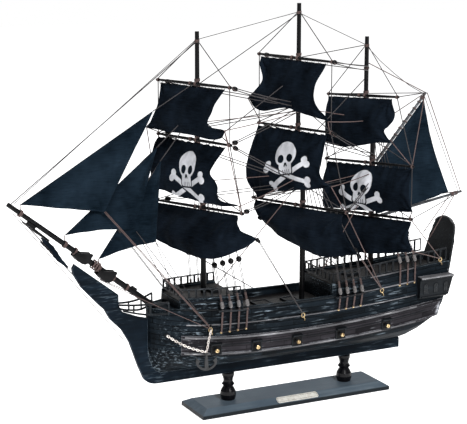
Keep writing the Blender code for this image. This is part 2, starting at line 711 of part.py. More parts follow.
# ---------------------------------------------------------------- sails
def thicken(name, grid, offset):
    """A closed sheet of cloth from rows of points; each row may be one point shorter than the last."""
    index = {}
    verts = []
    for i, row in enumerate(grid):
        for j, point in enumerate(row):
            index[i, j] = len(verts)
            verts.append(point)
    faces = []
    for i in range(len(grid) - 1):
        here, there = grid[i], grid[i + 1]
        for j in range(len(here) - 1):
            if len(there) == len(here):
                faces.append((index[i, j], index[i, j + 1], index[i + 1, j + 1], index[i + 1, j]))
            else:
                faces.append((index[i, j], index[i, j + 1], index[i + 1, j]))
                if j < len(there) - 1:
                    faces.append((index[i, j + 1], index[i + 1, j + 1], index[i + 1, j]))
    edges = {}
    for face in faces:
        for a, b in zip(face, face[1:] + face[:1]):
            edges[frozenset((a, b))] = edges.get(frozenset((a, b)), 0) + 1
    count = len(verts)
    both = [v - offset / 2 for v in verts] + [v + offset / 2 for v in verts]
    skin = faces + [tuple(v + count for v in face) for face in faces]
    for edge, uses in edges.items():
        if uses == 1:
            a, b = tuple(edge)
            skin.append((a, b, b + count, a + count))
    return make_object(name, both, skin, "sail_cloth", 60)


def sail_point(name, u, v):
    """A point of a square sail: u runs from -1 to 1 to port, v from 0 at the head to 1."""
    head, draw, belly, foot = SAILS[name]
    centre, to_port, forward = yard_place(name)
    starboard, middle, port = foot
    clew = port if u > 0 else starboard
    along = u * head * (1 - v) + abs(u) * clew[0] * v
    along *= 1 - draw * 4 * v * (1 - v)
    bend = [port[k] * u * (u + 1) / 2 + starboard[k] * u * (u - 1) / 2 + middle[k] * (1 - u * u)
            for k in (1, 2)]
    ahead = bend[1] * v ** 2 + belly * sin(pi * v ** 0.8) * (1 - 0.6 * u * u)
    fall = YARD_RADIUS + SAIL_THICKNESS + bend[0] * v
    return centre + to_port * along + forward * ahead - Vector((0, 0, fall))


def build_square_sails(columns=10, rows=8):
    for name in SAILS:
        forward = yard_place(name)[2]
        grid = [[sail_point(name, 2 * j / columns - 1, i / rows) for j in range(columns + 1)]
                for i in range(rows + 1)]
        thicken(f"{name}_sail", grid, forward * SAIL_THICKNESS)


def build_jibs(count=8):
    for name, (tack, head, clew) in JIBS.items():
        tack, head, clew = Vector(tack), Vector(head), Vector(clew)
        grid = []
        for i in range(count + 1):
            share = i / count
            row = []
            for j in range(count - i + 1):
                a = j / count
                b = 1 - share - a
                belly = JIB_BELLY * 27 * share * a * b
                row.append(tack * b + head * a + clew * share - Vector((0, belly, 0)))
            grid.append(row)
        thicken(name, grid, Vector((0, SAIL_THICKNESS, 0)))


def build_spanker(columns=8, rows=6):
    """The aft sail between gaff and boom."""
    throat, peak, tack, clew = SPANKER
    grid = []
    for i in range(rows + 1):
        v = i / rows
        row = []
        for j in range(columns + 1):
            u = j / columns
            point = throat.lerp(peak, u).lerp(tack.lerp(clew, u), v)
            bulge = SPANKER_BULGE * sin(pi * u) * sin(pi * v)
            row.append(point + Vector((0, bulge, 0)))
        grid.append(row)
    thicken("spanker", grid, Vector((0, SAIL_THICKNESS, 0)))


def build_spanker_spars():
    for name, (start, end) in (("gaff", GAFF), ("boom", BOOM)):
        spar(name, start, end, ((0, YARD_RADIUS * 1.05), (0.6, YARD_RADIUS), (1, YARD_RADIUS * 0.75)),
             sides=10)


# ---------------------------------------------------------------- anchors, chains and the stay
def chain_ends(side):
    """Where the chain leaves the hull at the hawse and at the hook."""
    ends = []
    for x, z, off in (HAWSE, HOOK):
        ends.append(Vector((x, side * (side_y(x, z) + off), z)))
    return ends


def outboard(x, side, extra):
    """A plan position that far outside the upper wale at x."""
    return side * (side_y(x, sheer_rise(WALE_HIGH_Z, x)) + WALE_PROUD + extra)


def build_anchor(side_name, side):
    """A flat cast anchor that hangs by its ring against the side, and its chain."""
    hawse, hook = chain_ends(side)
    reach = ANCHOR_THICKNESS / 2 + 0.0010
    half_span = ANCHOR_SPAN / 2
    ring = Vector((ANCHOR_X, outboard(ANCHOR_X, side, reach), ANCHOR_RING_Z))
    flat = Vector((2 * half_span, outboard(ANCHOR_X + half_span, side, reach)
                   - outboard(ANCHOR_X - half_span, side, reach), 0)).normalized()
    normal = Vector((flat.y, -flat.x, 0))
    shank = 0.0012
    arm = 0.0030
    bow = 0.0125
    low = bow - ANCHOR_LENGTH
    outer = [(half_span * cos(a), low + bow * sin(a)) for a in
             (radians(-5 - 17 * k) for k in range(11))]
    inner = [((half_span - arm) * cos(a), low + (bow - arm) * sin(a)) for a in
             (radians(-75 + 15 * k) for k in range(5))]
    right = [(0.0022, 0.0), (0.0018, -0.0016), (shank, -0.0026)] + inner
    right += [(half_span - 0.0056, low + 0.0004), (half_span - 0.0008, low + 0.0050)]
    outline = right + outer + [(-a, b) for a, b in reversed(right)]
    body = plate(f"anchor_{side_name}", outline, ANCHOR_THICKNESS,
                 lambda a, b, t: ring + flat * a + Vector((0, 0, b)) + normal * t, "steel")
    pivot = (hawse + hook) / 2
    body.data.transform(Matrix.Translation(-pivot))
    body.location = pivot
    end = ring + Vector((0, 0, CHAIN_RADIUS + GAP * 2))
    route = [hawse]
    for k in range(1, 8):
        share = k / 8
        x = hawse.x + (end.x - hawse.x) * share
        z = hawse.z + (end.z - hawse.z) * share - 0.0140 * share * (1 - share)
        route.append(Vector((x, outboard(x, side, CHAIN_RADIUS + GAP * 2), z)))
    route += [end, end.lerp(hook, 0.5), hook]
    chain = cord(f"anchor_chain_{side_name}", [p - pivot for p in route], CHAIN_RADIUS, "steel")
    chain.location = pivot


def build_masthead_stay():
    """One cord from the bowsprit over the three mastheads to the gaff's peak and the boom."""
    off = TOPMAST_RADIUS + STAY_RADIUS + GAP
    aside = YARD_RADIUS + STAY_RADIUS + GAP
    axis = bowsprit_axis()
    tip = BOWSPRIT_TIP + axis * 0.006
    tip = tip + Vector((sin(BOWSPRIT_STEEVE), 0, cos(BOWSPRIT_STEEVE))) * (BOWSPRIT_RADIUS * 0.75 + 0.001)
    heads = [Vector((topmast_x(name), off, MASTS[name][5] - below))
             for name, below in (("fore", 0.011), ("main", 0.012), ("mizzen", 0.011))]
    peak = Vector((GAFF[1].x - 0.002, aside, GAFF[1].z - 0.002))
    boom_end = Vector((BOOM[1].x - 0.004, aside, BOOM[1].z))
    slack = heads[2].lerp(peak, 0.5) + Vector((0, 0, -0.006))
    points = [tip, tip.lerp(heads[0], 0.5)] + heads
    points += [heads[2].lerp(slack, 0.5) + Vector((0, 0, -0.0020)), slack,
               slack.lerp(peak, 0.5) + Vector((0, 0, -0.0020)), peak,
               peak.lerp(boom_end, 0.5), boom_end]
    cord("masthead_stay", points, STAY_RADIUS, "cordage")


# ---------------------------------------------------------------- stand
def board_ring(z, inset):
    half_x = BOARD_LENGTH / 2 - inset
    half_y = BOARD_WIDTH / 2 - inset
    return [Vector((sx * half_x, sy * half_y, z)) for sx, sy in ((-1, -1), (1, -1), (1, 1), (-1, 1))]


def build_stand(keel):
    board = loft("base_board", [board_ring(0, 0), board_ring(BOARD_EDGE, 0),
                                board_ring(BOARD_HEIGHT, BEVEL_RUN)], "board_paint")
    low = BOARD_HEIGHT + GAP
    high = KEEL_BOTTOM - GAP
    rise = high - low
    girth = PILLAR_RADIUS
    profile = [(girth * 0.86, 0.0), (girth * 0.96, 0.10), (girth, 0.20), (girth * 0.94, 0.32),
               (girth * 0.72, 0.44), (girth * 0.58, 0.50), (girth * 0.70, 0.545),
               (girth * 0.80, 0.585), (girth * 0.70, 0.625), (girth * 0.58, 0.68),
               (girth * 0.60, 0.76), (girth * 0.70, 0.86), (girth * 0.76, 0.91), (girth * 0.76, 1.0)]
    for name, side in (("fore", -1), ("aft", 1)):
        x = side * PILLAR_SPREAD / 2
        turned(f"pillar_{name}", [(r, low + rise * h) for r, h in profile], (x, 0),
               "pillar_gloss", bore=SCREW_RADIUS + GAP)
        head = GAP
        neck = head + 0.0020
        tip = KEEL_BOTTOM + SCREW_GRIP
        spar(f"stand_screw_{name}", Vector((x, 0, head)), Vector((x, 0, tip)),
             ((0, SCREW_HEAD_RADIUS), (neck / tip, SCREW_RADIUS), (0.92, SCREW_RADIUS), (1, 0.0004)),
             "steel")
        shaft = spar(f"screw_way_{name}", Vector((x, 0, -0.001)),
                     Vector((x, 0, tip + GAP)),
                     ((0, SCREW_HEAD_RADIUS + GAP * 2), (0.0030 / tip, SCREW_HEAD_RADIUS + GAP),
                      (0.0062 / tip, SCREW_RADIUS + GAP), (1, SCREW_RADIUS + GAP)), "steel")
        combine(board, shaft, "DIFFERENCE")
        combine(keel, shaft, "DIFFERENCE")


def build_nameplate():
    """The blank plate on the port bevel, with notched ends."""
    slope = atan2(BOARD_HEIGHT - BOARD_EDGE, BEVEL_RUN)
    up = Vector((0, cos(slope), sin(slope)))
    out = Vector((0, -sin(slope), cos(slope)))
    face = Vector((0, -BOARD_WIDTH / 2 + BEVEL_RUN / 2, (BOARD_EDGE + BOARD_HEIGHT) / 2))
    half_a, half_b, notch = PLATE_LENGTH / 2, PLATE_HEIGHT / 2, 0.0022
    corner = [(half_a - notch, half_b), (half_a - notch * 0.3, half_b - notch * 0.5),
              (half_a, half_b - notch), (half_a, notch - half_b),
              (half_a - notch * 0.3, notch * 0.5 - half_b), (half_a - notch, -half_b)]
    outline = corner + [(-a, b) for a, b in reversed(corner)]
    middle = GAP + PLATE_THICKNESS / 2
    return plate("nameplate", outline, PLATE_THICKNESS,
                 lambda a, b, t: face + Vector((a, 0, 0)) + up * b + out * (middle + t), "brass")


def build():
    for thing in list(bpy.data.objects):
        bpy.data.objects.remove(thing, do_unlink=True)
    keel = build_keel()
    build_stand(keel)
    build_nameplate()
    hull = build_hull()
    decks = {
        "fore": build_deck("forecastle_deck", FORECASTLE_STATIONS),
        "main": build_deck("waist_deck", WAIST_STATIONS),
        "mizzen": build_deck("quarter_deck", QUARTER_STATIONS),
    }
    build_masts({name: (hull, deck) for name, deck in decks.items()})
    build_bowsprit(hull)
    for side_name, side in (("port", -1), ("starboard", 1)):
        build_gun_belt(f"gun_belt_{side_name}", side)
        build_gallery(f"quarter_gallery_{side_name}", side)
        build_head_rail(f"head_rail_{side_name}", side)
        for mast, span in CHANNELS.items():
            build_channel(f"{mast}_channel_{side_name}", span, side)
        build_anchor(side_name, side)
    build_transom()
    build_forecastle_rail()
    build_quarterdeck_rail()
    build_yards()
    build_spanker_spars()
    build_square_sails()
    build_jibs()
    build_spanker()
    build_masthead_stay()


build()
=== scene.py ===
"""Looks of a three-masted model sailing ship with black sails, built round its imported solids.

Metres, +Z up, bow along -X, port along -Y, origin under the middle of the stand's board.
"""
from math import sin, cos, pi, radians, hypot
import bpy
import bmesh
import numpy as np
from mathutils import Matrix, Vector, noise
from mathutils.bvhtree import BVHTree


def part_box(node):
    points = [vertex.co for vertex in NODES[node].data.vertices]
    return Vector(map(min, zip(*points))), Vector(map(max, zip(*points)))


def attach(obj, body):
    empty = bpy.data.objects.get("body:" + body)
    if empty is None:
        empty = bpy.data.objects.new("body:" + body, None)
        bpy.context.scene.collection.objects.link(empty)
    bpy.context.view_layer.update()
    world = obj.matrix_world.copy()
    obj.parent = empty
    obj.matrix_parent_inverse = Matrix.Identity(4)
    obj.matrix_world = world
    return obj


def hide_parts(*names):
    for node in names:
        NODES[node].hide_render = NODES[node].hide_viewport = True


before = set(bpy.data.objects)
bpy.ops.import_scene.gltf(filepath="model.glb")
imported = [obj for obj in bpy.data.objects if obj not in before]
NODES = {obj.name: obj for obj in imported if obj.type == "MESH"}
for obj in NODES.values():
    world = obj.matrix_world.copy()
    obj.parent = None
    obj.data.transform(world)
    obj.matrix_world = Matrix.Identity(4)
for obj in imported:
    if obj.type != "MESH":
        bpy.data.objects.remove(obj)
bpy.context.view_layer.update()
SHIP = "ship"

# ---------------------------------------------------------------- camera
VIEW_AZIMUTH = radians(-26.196)
VIEW_ELEVATION = radians(11.799)
CAMERA_PLACE = (-0.9142, -1.6937, 0.6585)
CAMERA_LENS = 114.4


def place_camera():
    data = bpy.data.cameras.new("camera")
    data.lens = CAMERA_LENS
    data.sensor_width = 36
    data.clip_end = 10
    camera = bpy.data.objects.new("camera", data)
    bpy.context.scene.collection.objects.link(camera)
    back = Vector((sin(VIEW_AZIMUTH) * cos(VIEW_ELEVATION), -cos(VIEW_AZIMUTH) * cos(VIEW_ELEVATION),
                   sin(VIEW_ELEVATION)))
    camera.location = CAMERA_PLACE
    camera.rotation_euler = back.to_track_quat("Z", "Y").to_euler()
    bpy.context.scene.camera = camera


place_camera()


# ---------------------------------------------------------------- materials
class Shader:
    """A material under construction."""

    def __init__(self, name):
        self.material = bpy.data.materials.new(name)
        self.material.use_nodes = True
        self.tree = self.material.node_tree
        self.bsdf = self.tree.nodes["Principled BSDF"]
        self.place = self.put("TexCoord").outputs["Object"]

    def put(self, kind, inputs=None, **settings):
        node = self.tree.nodes.new("ShaderNode" + kind)
        for key, value in settings.items():
            setattr(node, key, value)
        for key, value in (inputs or {}).items():
            self.join(value, node.inputs[key])
        return node

    def join(self, value, socket):
        if isinstance(value, bpy.types.NodeSocket):
            self.tree.links.new(value, socket)
        elif isinstance(value, (tuple, list)) and len(value) == 3 and socket.type == "RGBA":
            socket.default_value = (*value, 1.0)
        else:
            socket.default_value = value

    def surface(self, **values):
        for key, value in values.items():
            self.join(value, self.bsdf.inputs[key.replace("_", " ")])

    def noise(self, scale, detail=4.0, rough=0.55, stretch=None, distortion=0.0):
        vector = self.place
        if stretch:
            vector = self.put("Mapping", {"Vector": vector, "Scale": stretch}).outputs[0]
        return self.put("TexNoise", {"Vector": vector, "Scale": scale, "Detail": detail,
                                     "Roughness": rough, "Distortion": distortion}).outputs["Fac"]

    def spread(self, value, low, high, to_low=0.0, to_high=1.0):
        return self.put("MapRange", {"Value": value, "From Min": low, "From Max": high,
                                     "To Min": to_low, "To Max": to_high}).outputs[0]

    def math(self, operation, a, b=0.0):
        return self.put("Math", {0: a, 1: b}, operation=operation).outputs[0]

    def mix(self, share, a, b):
        node = self.put("Mix", data_type="RGBA")
        self.join(share, node.inputs[0])
        self.join(a, node.inputs[6])
        self.join(b, node.inputs[7])
        return node.outputs[2]

    def bump(self, height, distance, strength=1.0, normal=None):
        inputs = {"Height": height, "Distance": distance, "Strength": strength}
        if normal is not None:
            inputs["Normal"] = normal
        return self.put("Bump", inputs).outputs[0]

    def edges(self, radius, low=0.02, high=0.22):
        """Where the surface turns a corner."""
        rounded = self.put("Bevel", {"Radius": radius}, samples=6).outputs[0]
        plain = self.put("NewGeometry").outputs["Normal"]
        turn = self.put("VectorMath", {0: rounded, 1: plain}, operation="DOT_PRODUCT").outputs["Value"]
        return self.spread(self.math("SUBTRACT", 1.0, turn), low, high)


def painted_wood(name, dark, light, worn, wear=0.6, rough=(0.42, 0.62), planks=0.0, radius=0.0012,
                 grain=(9.0, 90.0, 90.0), scuff=0.35, plank_axis="Z", gloss=0.10):
    """Dark paint over wood: brushed streaks, worn edges, scuffs and, if wanted, plank seams; made strong, the
    pale edges and scuffs are also painted highlights.
    """
    s = Shader(name)
    streaks = s.noise(1.6, 8.0, 0.62, grain)
    fine = s.noise(5.0, 5.0, 0.6, grain)
    patches = s.noise(26.0, 4.0)
    tone = s.math("MULTIPLY", s.spread(streaks, 0.35, 0.70), s.spread(patches, 0.30, 0.72))
    colour = s.mix(tone, dark, light)
    # pale worn edges and scuffs; where strong, as on the hull, they are also painted highlights along the
    # edges
    scratches = s.math("MULTIPLY", s.spread(fine, 0.54, 0.70), s.spread(s.noise(14.0, 5.0), 0.47, 0.62))
    edge_wear_and_highlight = s.math("MULTIPLY", s.edges(radius), s.spread(s.noise(60.0, 6.0, 0.7), 0.36, 0.60))
    wear_and_highlight = s.math("MAXIMUM", s.math("MULTIPLY", edge_wear_and_highlight, wear), s.math("MULTIPLY", scratches, scuff))
    colour = s.mix(wear_and_highlight, colour, worn)
    height = s.math("ADD", s.math("MULTIPLY", streaks, 0.6), s.math("MULTIPLY", fine, 0.4))
    normal = s.bump(height, 0.00022)
    if planks:
        parts = s.put("SeparateXYZ", {"Vector": s.place})
        curve = s.math("MULTIPLY", s.math("MULTIPLY", parts.outputs["X"], parts.outputs["X"]), 0.25)
        level = parts.outputs[plank_axis]
        if plank_axis == "Z":
            level = s.math("SUBTRACT", level, curve)
        row = s.math("DIVIDE", level, planks)
        part = s.math("FRACT", row)
        seam = s.math("MINIMUM", part, s.math("SUBTRACT", 1.0, part))
        line = s.spread(seam, 0.02, 0.07)
        across = s.math("ADD", s.math("DIVIDE", parts.outputs["X"], 0.055),
                        s.math("MULTIPLY", s.math("FLOOR", row), 0.37))
        joint = s.math("FRACT", across)
        butt = s.spread(s.math("MINIMUM", joint, s.math("SUBTRACT", 1.0, joint)), 0.002, 0.008)
        line = s.math("MINIMUM", line, butt)
        plank = s.math("ADD", s.math("FLOOR", row), s.math("MULTIPLY", s.math("FLOOR", across), 7.3))
        tint = s.put("TexWhiteNoise", {"W": plank}, noise_dimensions="1D").outputs["Value"]
        tint = s.spread(tint, 0.0, 1.0, 0.0, 0.35)
        colour = s.mix(tint, colour, light)
        colour = s.mix(line, tuple(c * 0.25 for c in dark), colour)
        normal = s.bump(line, 0.00035, 0.8, normal)
    s.surface(Base_Color=colour, Roughness=s.spread(streaks, 0.3, 0.75, *rough), Normal=normal)
    s.bsdf.inputs["Specular IOR Level"].default_value = gloss
    return s.material


def metal(name, colour, dull, rough, pits=900.0, scale_depth=0.00004, metallic=1.0):
    s = Shader(name)
    tarnish = s.noise(160.0, 5.0, 0.65)
    s.surface(Base_Color=s.mix(s.spread(tarnish, 0.42, 0.68), colour, dull),
              Roughness=s.spread(tarnish, 0.3, 0.7, rough * 0.75, rough * 1.5),
              Normal=s.bump(s.noise(pits, 3.0), scale_depth))
    s.bsdf.inputs["Metallic"].default_value = metallic
    return s.material


WEAVE_PITCH = 0.00055     # thread to thread in the cloth
TWIST_PITCH = 0.0016      # one turn of a thread's plies


def cloth(name, dark, light, emblem=None):
    """Fine cotton: two crossed threads, soft streaks and a light nap; the strong dark-to-light spread also
    serves as painted light and shade on the folds.
    """
    s = Shader(name)
    uv = s.put("UVMap", uv_map="cloth").outputs["UV"]
    parts = s.put("SeparateXYZ", {"Vector": uv})
    warp = s.math("SINE", s.math("MULTIPLY", parts.outputs["X"], 2 * pi / WEAVE_PITCH))
    weft = s.math("SINE", s.math("MULTIPLY", parts.outputs["Y"], 2 * pi / WEAVE_PITCH))
    weave = s.math("ADD", s.math("MULTIPLY", warp, weft), 1.0)
    drawn = s.put("Mapping", {"Vector": uv, "Scale": (60.0, 900.0, 1.0)}).outputs[0]
    slub = s.put("TexNoise", {"Vector": drawn, "Scale": 1.0, "Detail": 4.0}).outputs["Fac"]
    # random patches and streaks, spread from near black to light so they also stand in as painted light and
    # shade on the folds
    blotch_and_fold_shade = s.noise(22.0, 5.0, 0.6)
    tone = s.math("ADD", s.math("MULTIPLY", s.spread(blotch_and_fold_shade, 0.32, 0.70), 0.65),
                  s.math("MULTIPLY", s.spread(slub, 0.35, 0.7), 0.35))
    colour = s.mix(tone, dark, light)
    if emblem:
        mark = s.put("Attribute", attribute_name="emblem").outputs["Fac"]
        frayed = s.math("ADD", mark, s.spread(s.noise(1500.0, 2.0), 0.3, 0.7, -0.00012, 0.00012))
        inside = s.spread(frayed, -0.00012, 0.00018)
        print_tone = s.mix(s.spread(s.noise(120.0, 5.0), 0.35, 0.65), emblem, tuple(c * 0.78 for c in emblem))
        colour = s.mix(inside, colour, print_tone)
    normal = s.bump(weave, 0.00010, 0.5)
    normal = s.bump(s.noise(70.0, 4.0), 0.0006, 0.5, normal)
    s.surface(Base_Color=colour, Normal=normal)
    s.bsdf.inputs["Roughness"].default_value = 0.82
    s.bsdf.inputs["Specular IOR Level"].default_value = 0.012
    s.bsdf.inputs["Sheen Weight"].default_value = 0.010
    s.bsdf.inputs["Sheen Roughness"].default_value = 0.45
    s.bsdf.inputs["Sheen Tint"].default_value = (0.45, 0.58, 0.72, 1.0)
    return s.material


def thread(name, dark, light):
    """Twisted thread: slanted turns along the length, darker down in the grooves between the turns as painted
    shade.
    """
    s = Shader(name)
    parts = s.put("SeparateXYZ", {"Vector": s.put("UVMap", uv_map="cloth").outputs["UV"]})
    turn = s.math("ADD", s.math("MULTIPLY", parts.outputs["X"], 4 * pi),
                  s.math("MULTIPLY", parts.outputs["Y"], 2 * pi / TWIST_PITCH))
    twist_rise_and_groove_shade = s.spread(s.math("SINE", turn), -1.0, 1.0)
    fuzz = s.noise(700.0, 4.0)
    # painted shade: the colour darkens with the twist's height, down into the grooves
    s.surface(Base_Color=s.mix(s.math("MULTIPLY", twist_rise_and_groove_shade, s.spread(fuzz, 0.3, 0.7)), dark, light),
              Normal=s.bump(twist_rise_and_groove_shade, 0.00012, 0.5))
    s.bsdf.inputs["Roughness"].default_value = 0.8
    s.bsdf.inputs["Sheen Weight"].default_value = 0.05
    return s.material


def glossy_paint():
    s = Shader("pillar_gloss")
    dust = s.noise(45.0, 5.0, 0.65)
    s.surface(Base_Color=s.mix(s.spread(dust, 0.55, 0.8), (0.003, 0.003, 0.004), (0.012, 0.013, 0.015)),
              Roughness=s.spread(dust, 0.3, 0.75, 0.10, 0.30),
              Normal=s.bump(s.noise(30.0, 3.0, 0.5, (1.0, 1.0, 4.0)), 0.00015, 0.4))
    s.bsdf.inputs["Specular IOR Level"].default_value = 0.14
    s.bsdf.inputs["Coat Weight"].default_value = 0.04
    s.bsdf.inputs["Coat Roughness"].default_value = 0.06
    return s.material


def glass_dark():
    s = Shader("window_pane")
    ripple = s.noise(200.0, 3.0)
    s.surface(Base_Color=s.mix(s.spread(ripple, 0.3, 0.7), (0.002, 0.003, 0.004), (0.008, 0.010, 0.013)),
              Normal=s.bump(ripple, 0.0001, 0.5))
    s.bsdf.inputs["Roughness"].default_value = 0.22
    s.bsdf.inputs["Specular IOR Level"].default_value = 0.2
    return s.material


def board_paint(name, *colours, **settings):
    """The board's paint, with painted shade darkening it down on its upright edge."""
    material = painted_wood(name, *colours, **settings)
    tree = material.node_tree
    bsdf = tree.nodes["Principled BSDF"]
    painted = bsdf.inputs["Base Color"].links[0].from_socket
    place = next(node for node in tree.nodes if node.type == "TEX_COORD").outputs["Object"]
    parts = tree.nodes.new("ShaderNodeSeparateXYZ")
    tree.links.new(place, parts.inputs[0])
    # painted shade: below the top's rim the upright edge is coloured near black, as if in shadow
    low = tree.nodes.new("ShaderNodeMapRange")
    tree.links.new(parts.outputs["Z"], low.inputs["Value"])
    low.inputs["From Min"].default_value, low.inputs["From Max"].default_value = 0.0048, 0.0056
    mix = tree.nodes.new("ShaderNodeMix")
    mix.data_type = "RGBA"
    tree.links.new(low.outputs[0], mix.inputs[0])
    mix.inputs[6].default_value = (0.006, 0.009, 0.012, 1.0)
    tree.links.new(painted, mix.inputs[7])
    tree.links.new(mix.outputs[2], bsdf.inputs["Base Color"])
    return material


MAT = {
    # hull: its strong pale edges and scuffs are worn paint and painted highlights along the edges
    "hull": painted_wood("hull_paint",
                         (0.0010, 0.0015, 0.0022), (0.0105, 0.0165, 0.0230), (0.24, 0.30, 0.35),
                         wear=0.9, planks=0.0068, radius=0.0010, scuff=0.95, gloss=0.035),
    "low": painted_wood("lower_hull_paint",
                        (0.0022, 0.0042, 0.0068), (0.0080, 0.0150, 0.0240), (0.12, 0.16, 0.20),
                        wear=0.7, radius=0.0012, scuff=0.45, gloss=0.03),
    "belt": painted_wood("gun_belt_paint",
                         (0.0030, 0.0028, 0.0040), (0.036, 0.033, 0.039), (0.32, 0.33, 0.36),
                         wear=1.0, planks=0.0060, radius=0.0014, scuff=0.75, gloss=0.06),
    "trim": painted_wood("trim_paint", (0.0025, 0.003, 0.004), (0.013, 0.017, 0.021), (0.15, 0.17, 0.19),
                         wear=0.4, radius=0.0007, scuff=0.25),
    # boom and gaff: paint made lighter, with paler edges, as a painted reflection along the spars
    "boom": painted_wood("boom_paint_painted_reflection", (0.010, 0.011, 0.013), (0.075, 0.085, 0.095), (0.45, 0.47, 0.50),
                         wear=0.6, rough=(0.25, 0.4), radius=0.0008, scuff=0.6, gloss=0.35),
    # pale worn paint that also stands in as painted highlights on lit mouldings, rims and tops
    "line": painted_wood("worn_and_highlit_moulding", (0.050, 0.050, 0.054), (0.34, 0.34, 0.36), (0.66, 0.66, 0.67),
                         wear=0.9, radius=0.0006, scuff=0.8),
    "deck": painted_wood("deck_planks", (0.0035, 0.0032, 0.0034), (0.012, 0.011, 0.011), (0.06, 0.055, 0.05),
                         wear=0.4, planks=0.0042, radius=0.0006, scuff=0.35, plank_axis="Y"),
    "spar": painted_wood("spar_paint",
                         (0.0018, 0.0018, 0.0022), (0.0060, 0.0062, 0.0072), (0.06, 0.06, 0.065),
                         wear=0.25, rough=(0.32, 0.5), radius=0.0005, grain=(60.0, 60.0, 9.0), scuff=0.1,
                         gloss=0.10),
    "board": board_paint("board_paint", (0.055, 0.076, 0.098), (0.115, 0.145, 0.172), (0.30, 0.34, 0.36),
                          wear=0.8, rough=(0.38, 0.55), radius=0.0009, grain=(5.0, 110.0, 110.0), scuff=0.25),
    "pillar": glossy_paint(),
    "pane": glass_dark(),
    "sail": cloth("sail_cloth", (0.0004, 0.0008, 0.0015), (0.0085, 0.0135, 0.0215)),
    "flag": cloth("sail_cloth_printed", (0.0004, 0.0008, 0.0015), (0.0085, 0.0135, 0.0215),
                  (0.60, 0.61, 0.65)),
    # a lighter, bluer copy of the black sail cloth: painted light on the jibs, which face the lamps
    "jib": cloth("jib_cloth_painted_light", (0.0010, 0.0028, 0.0050), (0.0110, 0.0200, 0.0310)),
    "dark_thread": thread("dark_thread", (0.011, 0.009, 0.010), (0.027, 0.022, 0.023)),
    "tan_thread": thread("tan_thread", (0.050, 0.029, 0.027), (0.130, 0.082, 0.074)),
    "pale_thread": thread("pale_thread", (0.07, 0.065, 0.065), (0.30, 0.28, 0.28)),
    "brass": metal("brass", (0.62, 0.47, 0.26), (0.22, 0.14, 0.07), 0.30),
    "plate": metal("plate_brass", (0.86, 0.85, 0.79), (0.62, 0.59, 0.52), 0.36, metallic=0.35),
    "silver": metal("chain_metal", (0.90, 0.86, 0.82), (0.55, 0.48, 0.44), 0.26, metallic=0.55),
    "iron": metal("anchor_metal", (0.012, 0.013, 0.015), (0.005, 0.0055, 0.006), 0.42, metallic=0.2),
    "steel": metal("screw_steel", (0.60, 0.60, 0.61), (0.36, 0.36, 0.37), 0.3),
}

for key, names in {
    "hull": ["hull"],
    "low": ["keel_and_stem"],
    "belt": ["gun_belt_port", "gun_belt_starboard"],
    "deck": ["forecastle_deck", "waist_deck", "quarter_deck"],
    "board": ["base_board"],
    "plate": ["nameplate"],
    "pillar": ["pillar_fore", "pillar_aft"],
    "steel": ["stand_screw_fore", "stand_screw_aft"],
    "iron": ["anchor_port", "anchor_starboard"],
    "dark_thread": ["masthead_stay"],
}.items():
    for node in names:
        NODES[node].data.materials.clear()
        NODES[node].data.materials.append(MAT[key])
for node, thing in NODES.items():
    if node.endswith(("_mast", "topmast", "_yard")) or node in ("bowsprit", "gaff", "boom"):
        thing.data.materials.clear()
        thing.data.materials.append(MAT["spar"])
    # the boom and gaff take the lighter paint with its painted reflection
    if node in ("gaff", "boom"):
        thing.data.materials[0] = MAT["boom"]
    if "_rail" in node or "channel" in node or "gallery" in node or node == "transom":
        thing.data.materials.clear()
        thing.data.materials.append(MAT["trim"])


# ---------------------------------------------------------------- the ship's measures
BRACE = radians(17)
YARD_RADIUS, LOWER_RADIUS, TOP_RADIUS = 0.0021, 0.0037, 0.0031
MASTS = {  # x of the lower mast and of the topmast, top of each
    "fore": (-0.1245, -0.1320, 0.355, 0.500),
    "main": (0.0215, 0.0135, 0.350, 0.531),
    "mizzen": (0.1285, 0.1165, 0.396, 0.484),
}
YARDS = {  # mast, which part of it, height, half length, tilt in degrees
    "fore_topgallant": ("fore", "top", 0.4347, 0.0707, 0.7),
    "fore_topsail": ("fore", "top", 0.3636, 0.0710, 0.2),
    "fore_course": ("fore", "lower", 0.2757, 0.0840, 2.2),
    "main_topgallant": ("main", "top", 0.4606, 0.0690, -0.3),
    "main_topsail": ("main", "top", 0.3691, 0.0690, 0.5),
    "main_course": ("main", "lower", 0.2651, 0.0890, 1.5),
    "mizzen_topgallant": ("mizzen", "top", 0.4057, 0.0640, 3.2),
    "mizzen_topsail": ("mizzen", "lower", 0.3140, 0.0800, 3.0),
    "mizzen_course": ("mizzen", "lower", 0.2430, 0.0800, 3.0),
}
PORT, STARBOARD = -1, 1
UP = Vector((0, 0, 1))
X, Y = Vector((1, 0, 0)), Vector((0, 1, 0))


def lerp(a, b, t):
    return a + (b - a) * t


def yard_point(yard, along, drop=0.0, ahead=0.0):
    mast, part, height, _, tilt = YARDS[yard]
    radius = LOWER_RADIUS if part == "lower" else TOP_RADIUS
    x = MASTS[mast][0 if part == "lower" else 1]
    centre = Vector((x - (radius + YARD_RADIUS + 0.00039) / cos(BRACE), 0, height))
    slope = radians(tilt)
    return (centre + Vector((sin(BRACE) * cos(slope), -cos(BRACE) * cos(slope), sin(slope))) * along
            + Vector((-cos(BRACE), -sin(BRACE), 0)) * ahead - UP * drop)


def yardarm(yard, side, inset=0.003):
    return yard_point(yard, -side * (YARDS[yard][3] - inset))


def mast_x(mast, z):
    return MASTS[mast][1 if z > MASTS[mast][2] else 0]


def bowsprit_z(x):
    return 0.3014 - (x + 0.3847) * 0.7898


def skin_of(*names):
    points, faces = [], []
    for name in names:
        mesh = NODES[name].data
        base = len(points)
        points += [v.co.copy() for v in mesh.vertices]
        faces += [[base + i for i in p.vertices] for p in mesh.polygons]
    return BVHTree.FromPolygons(points, faces)


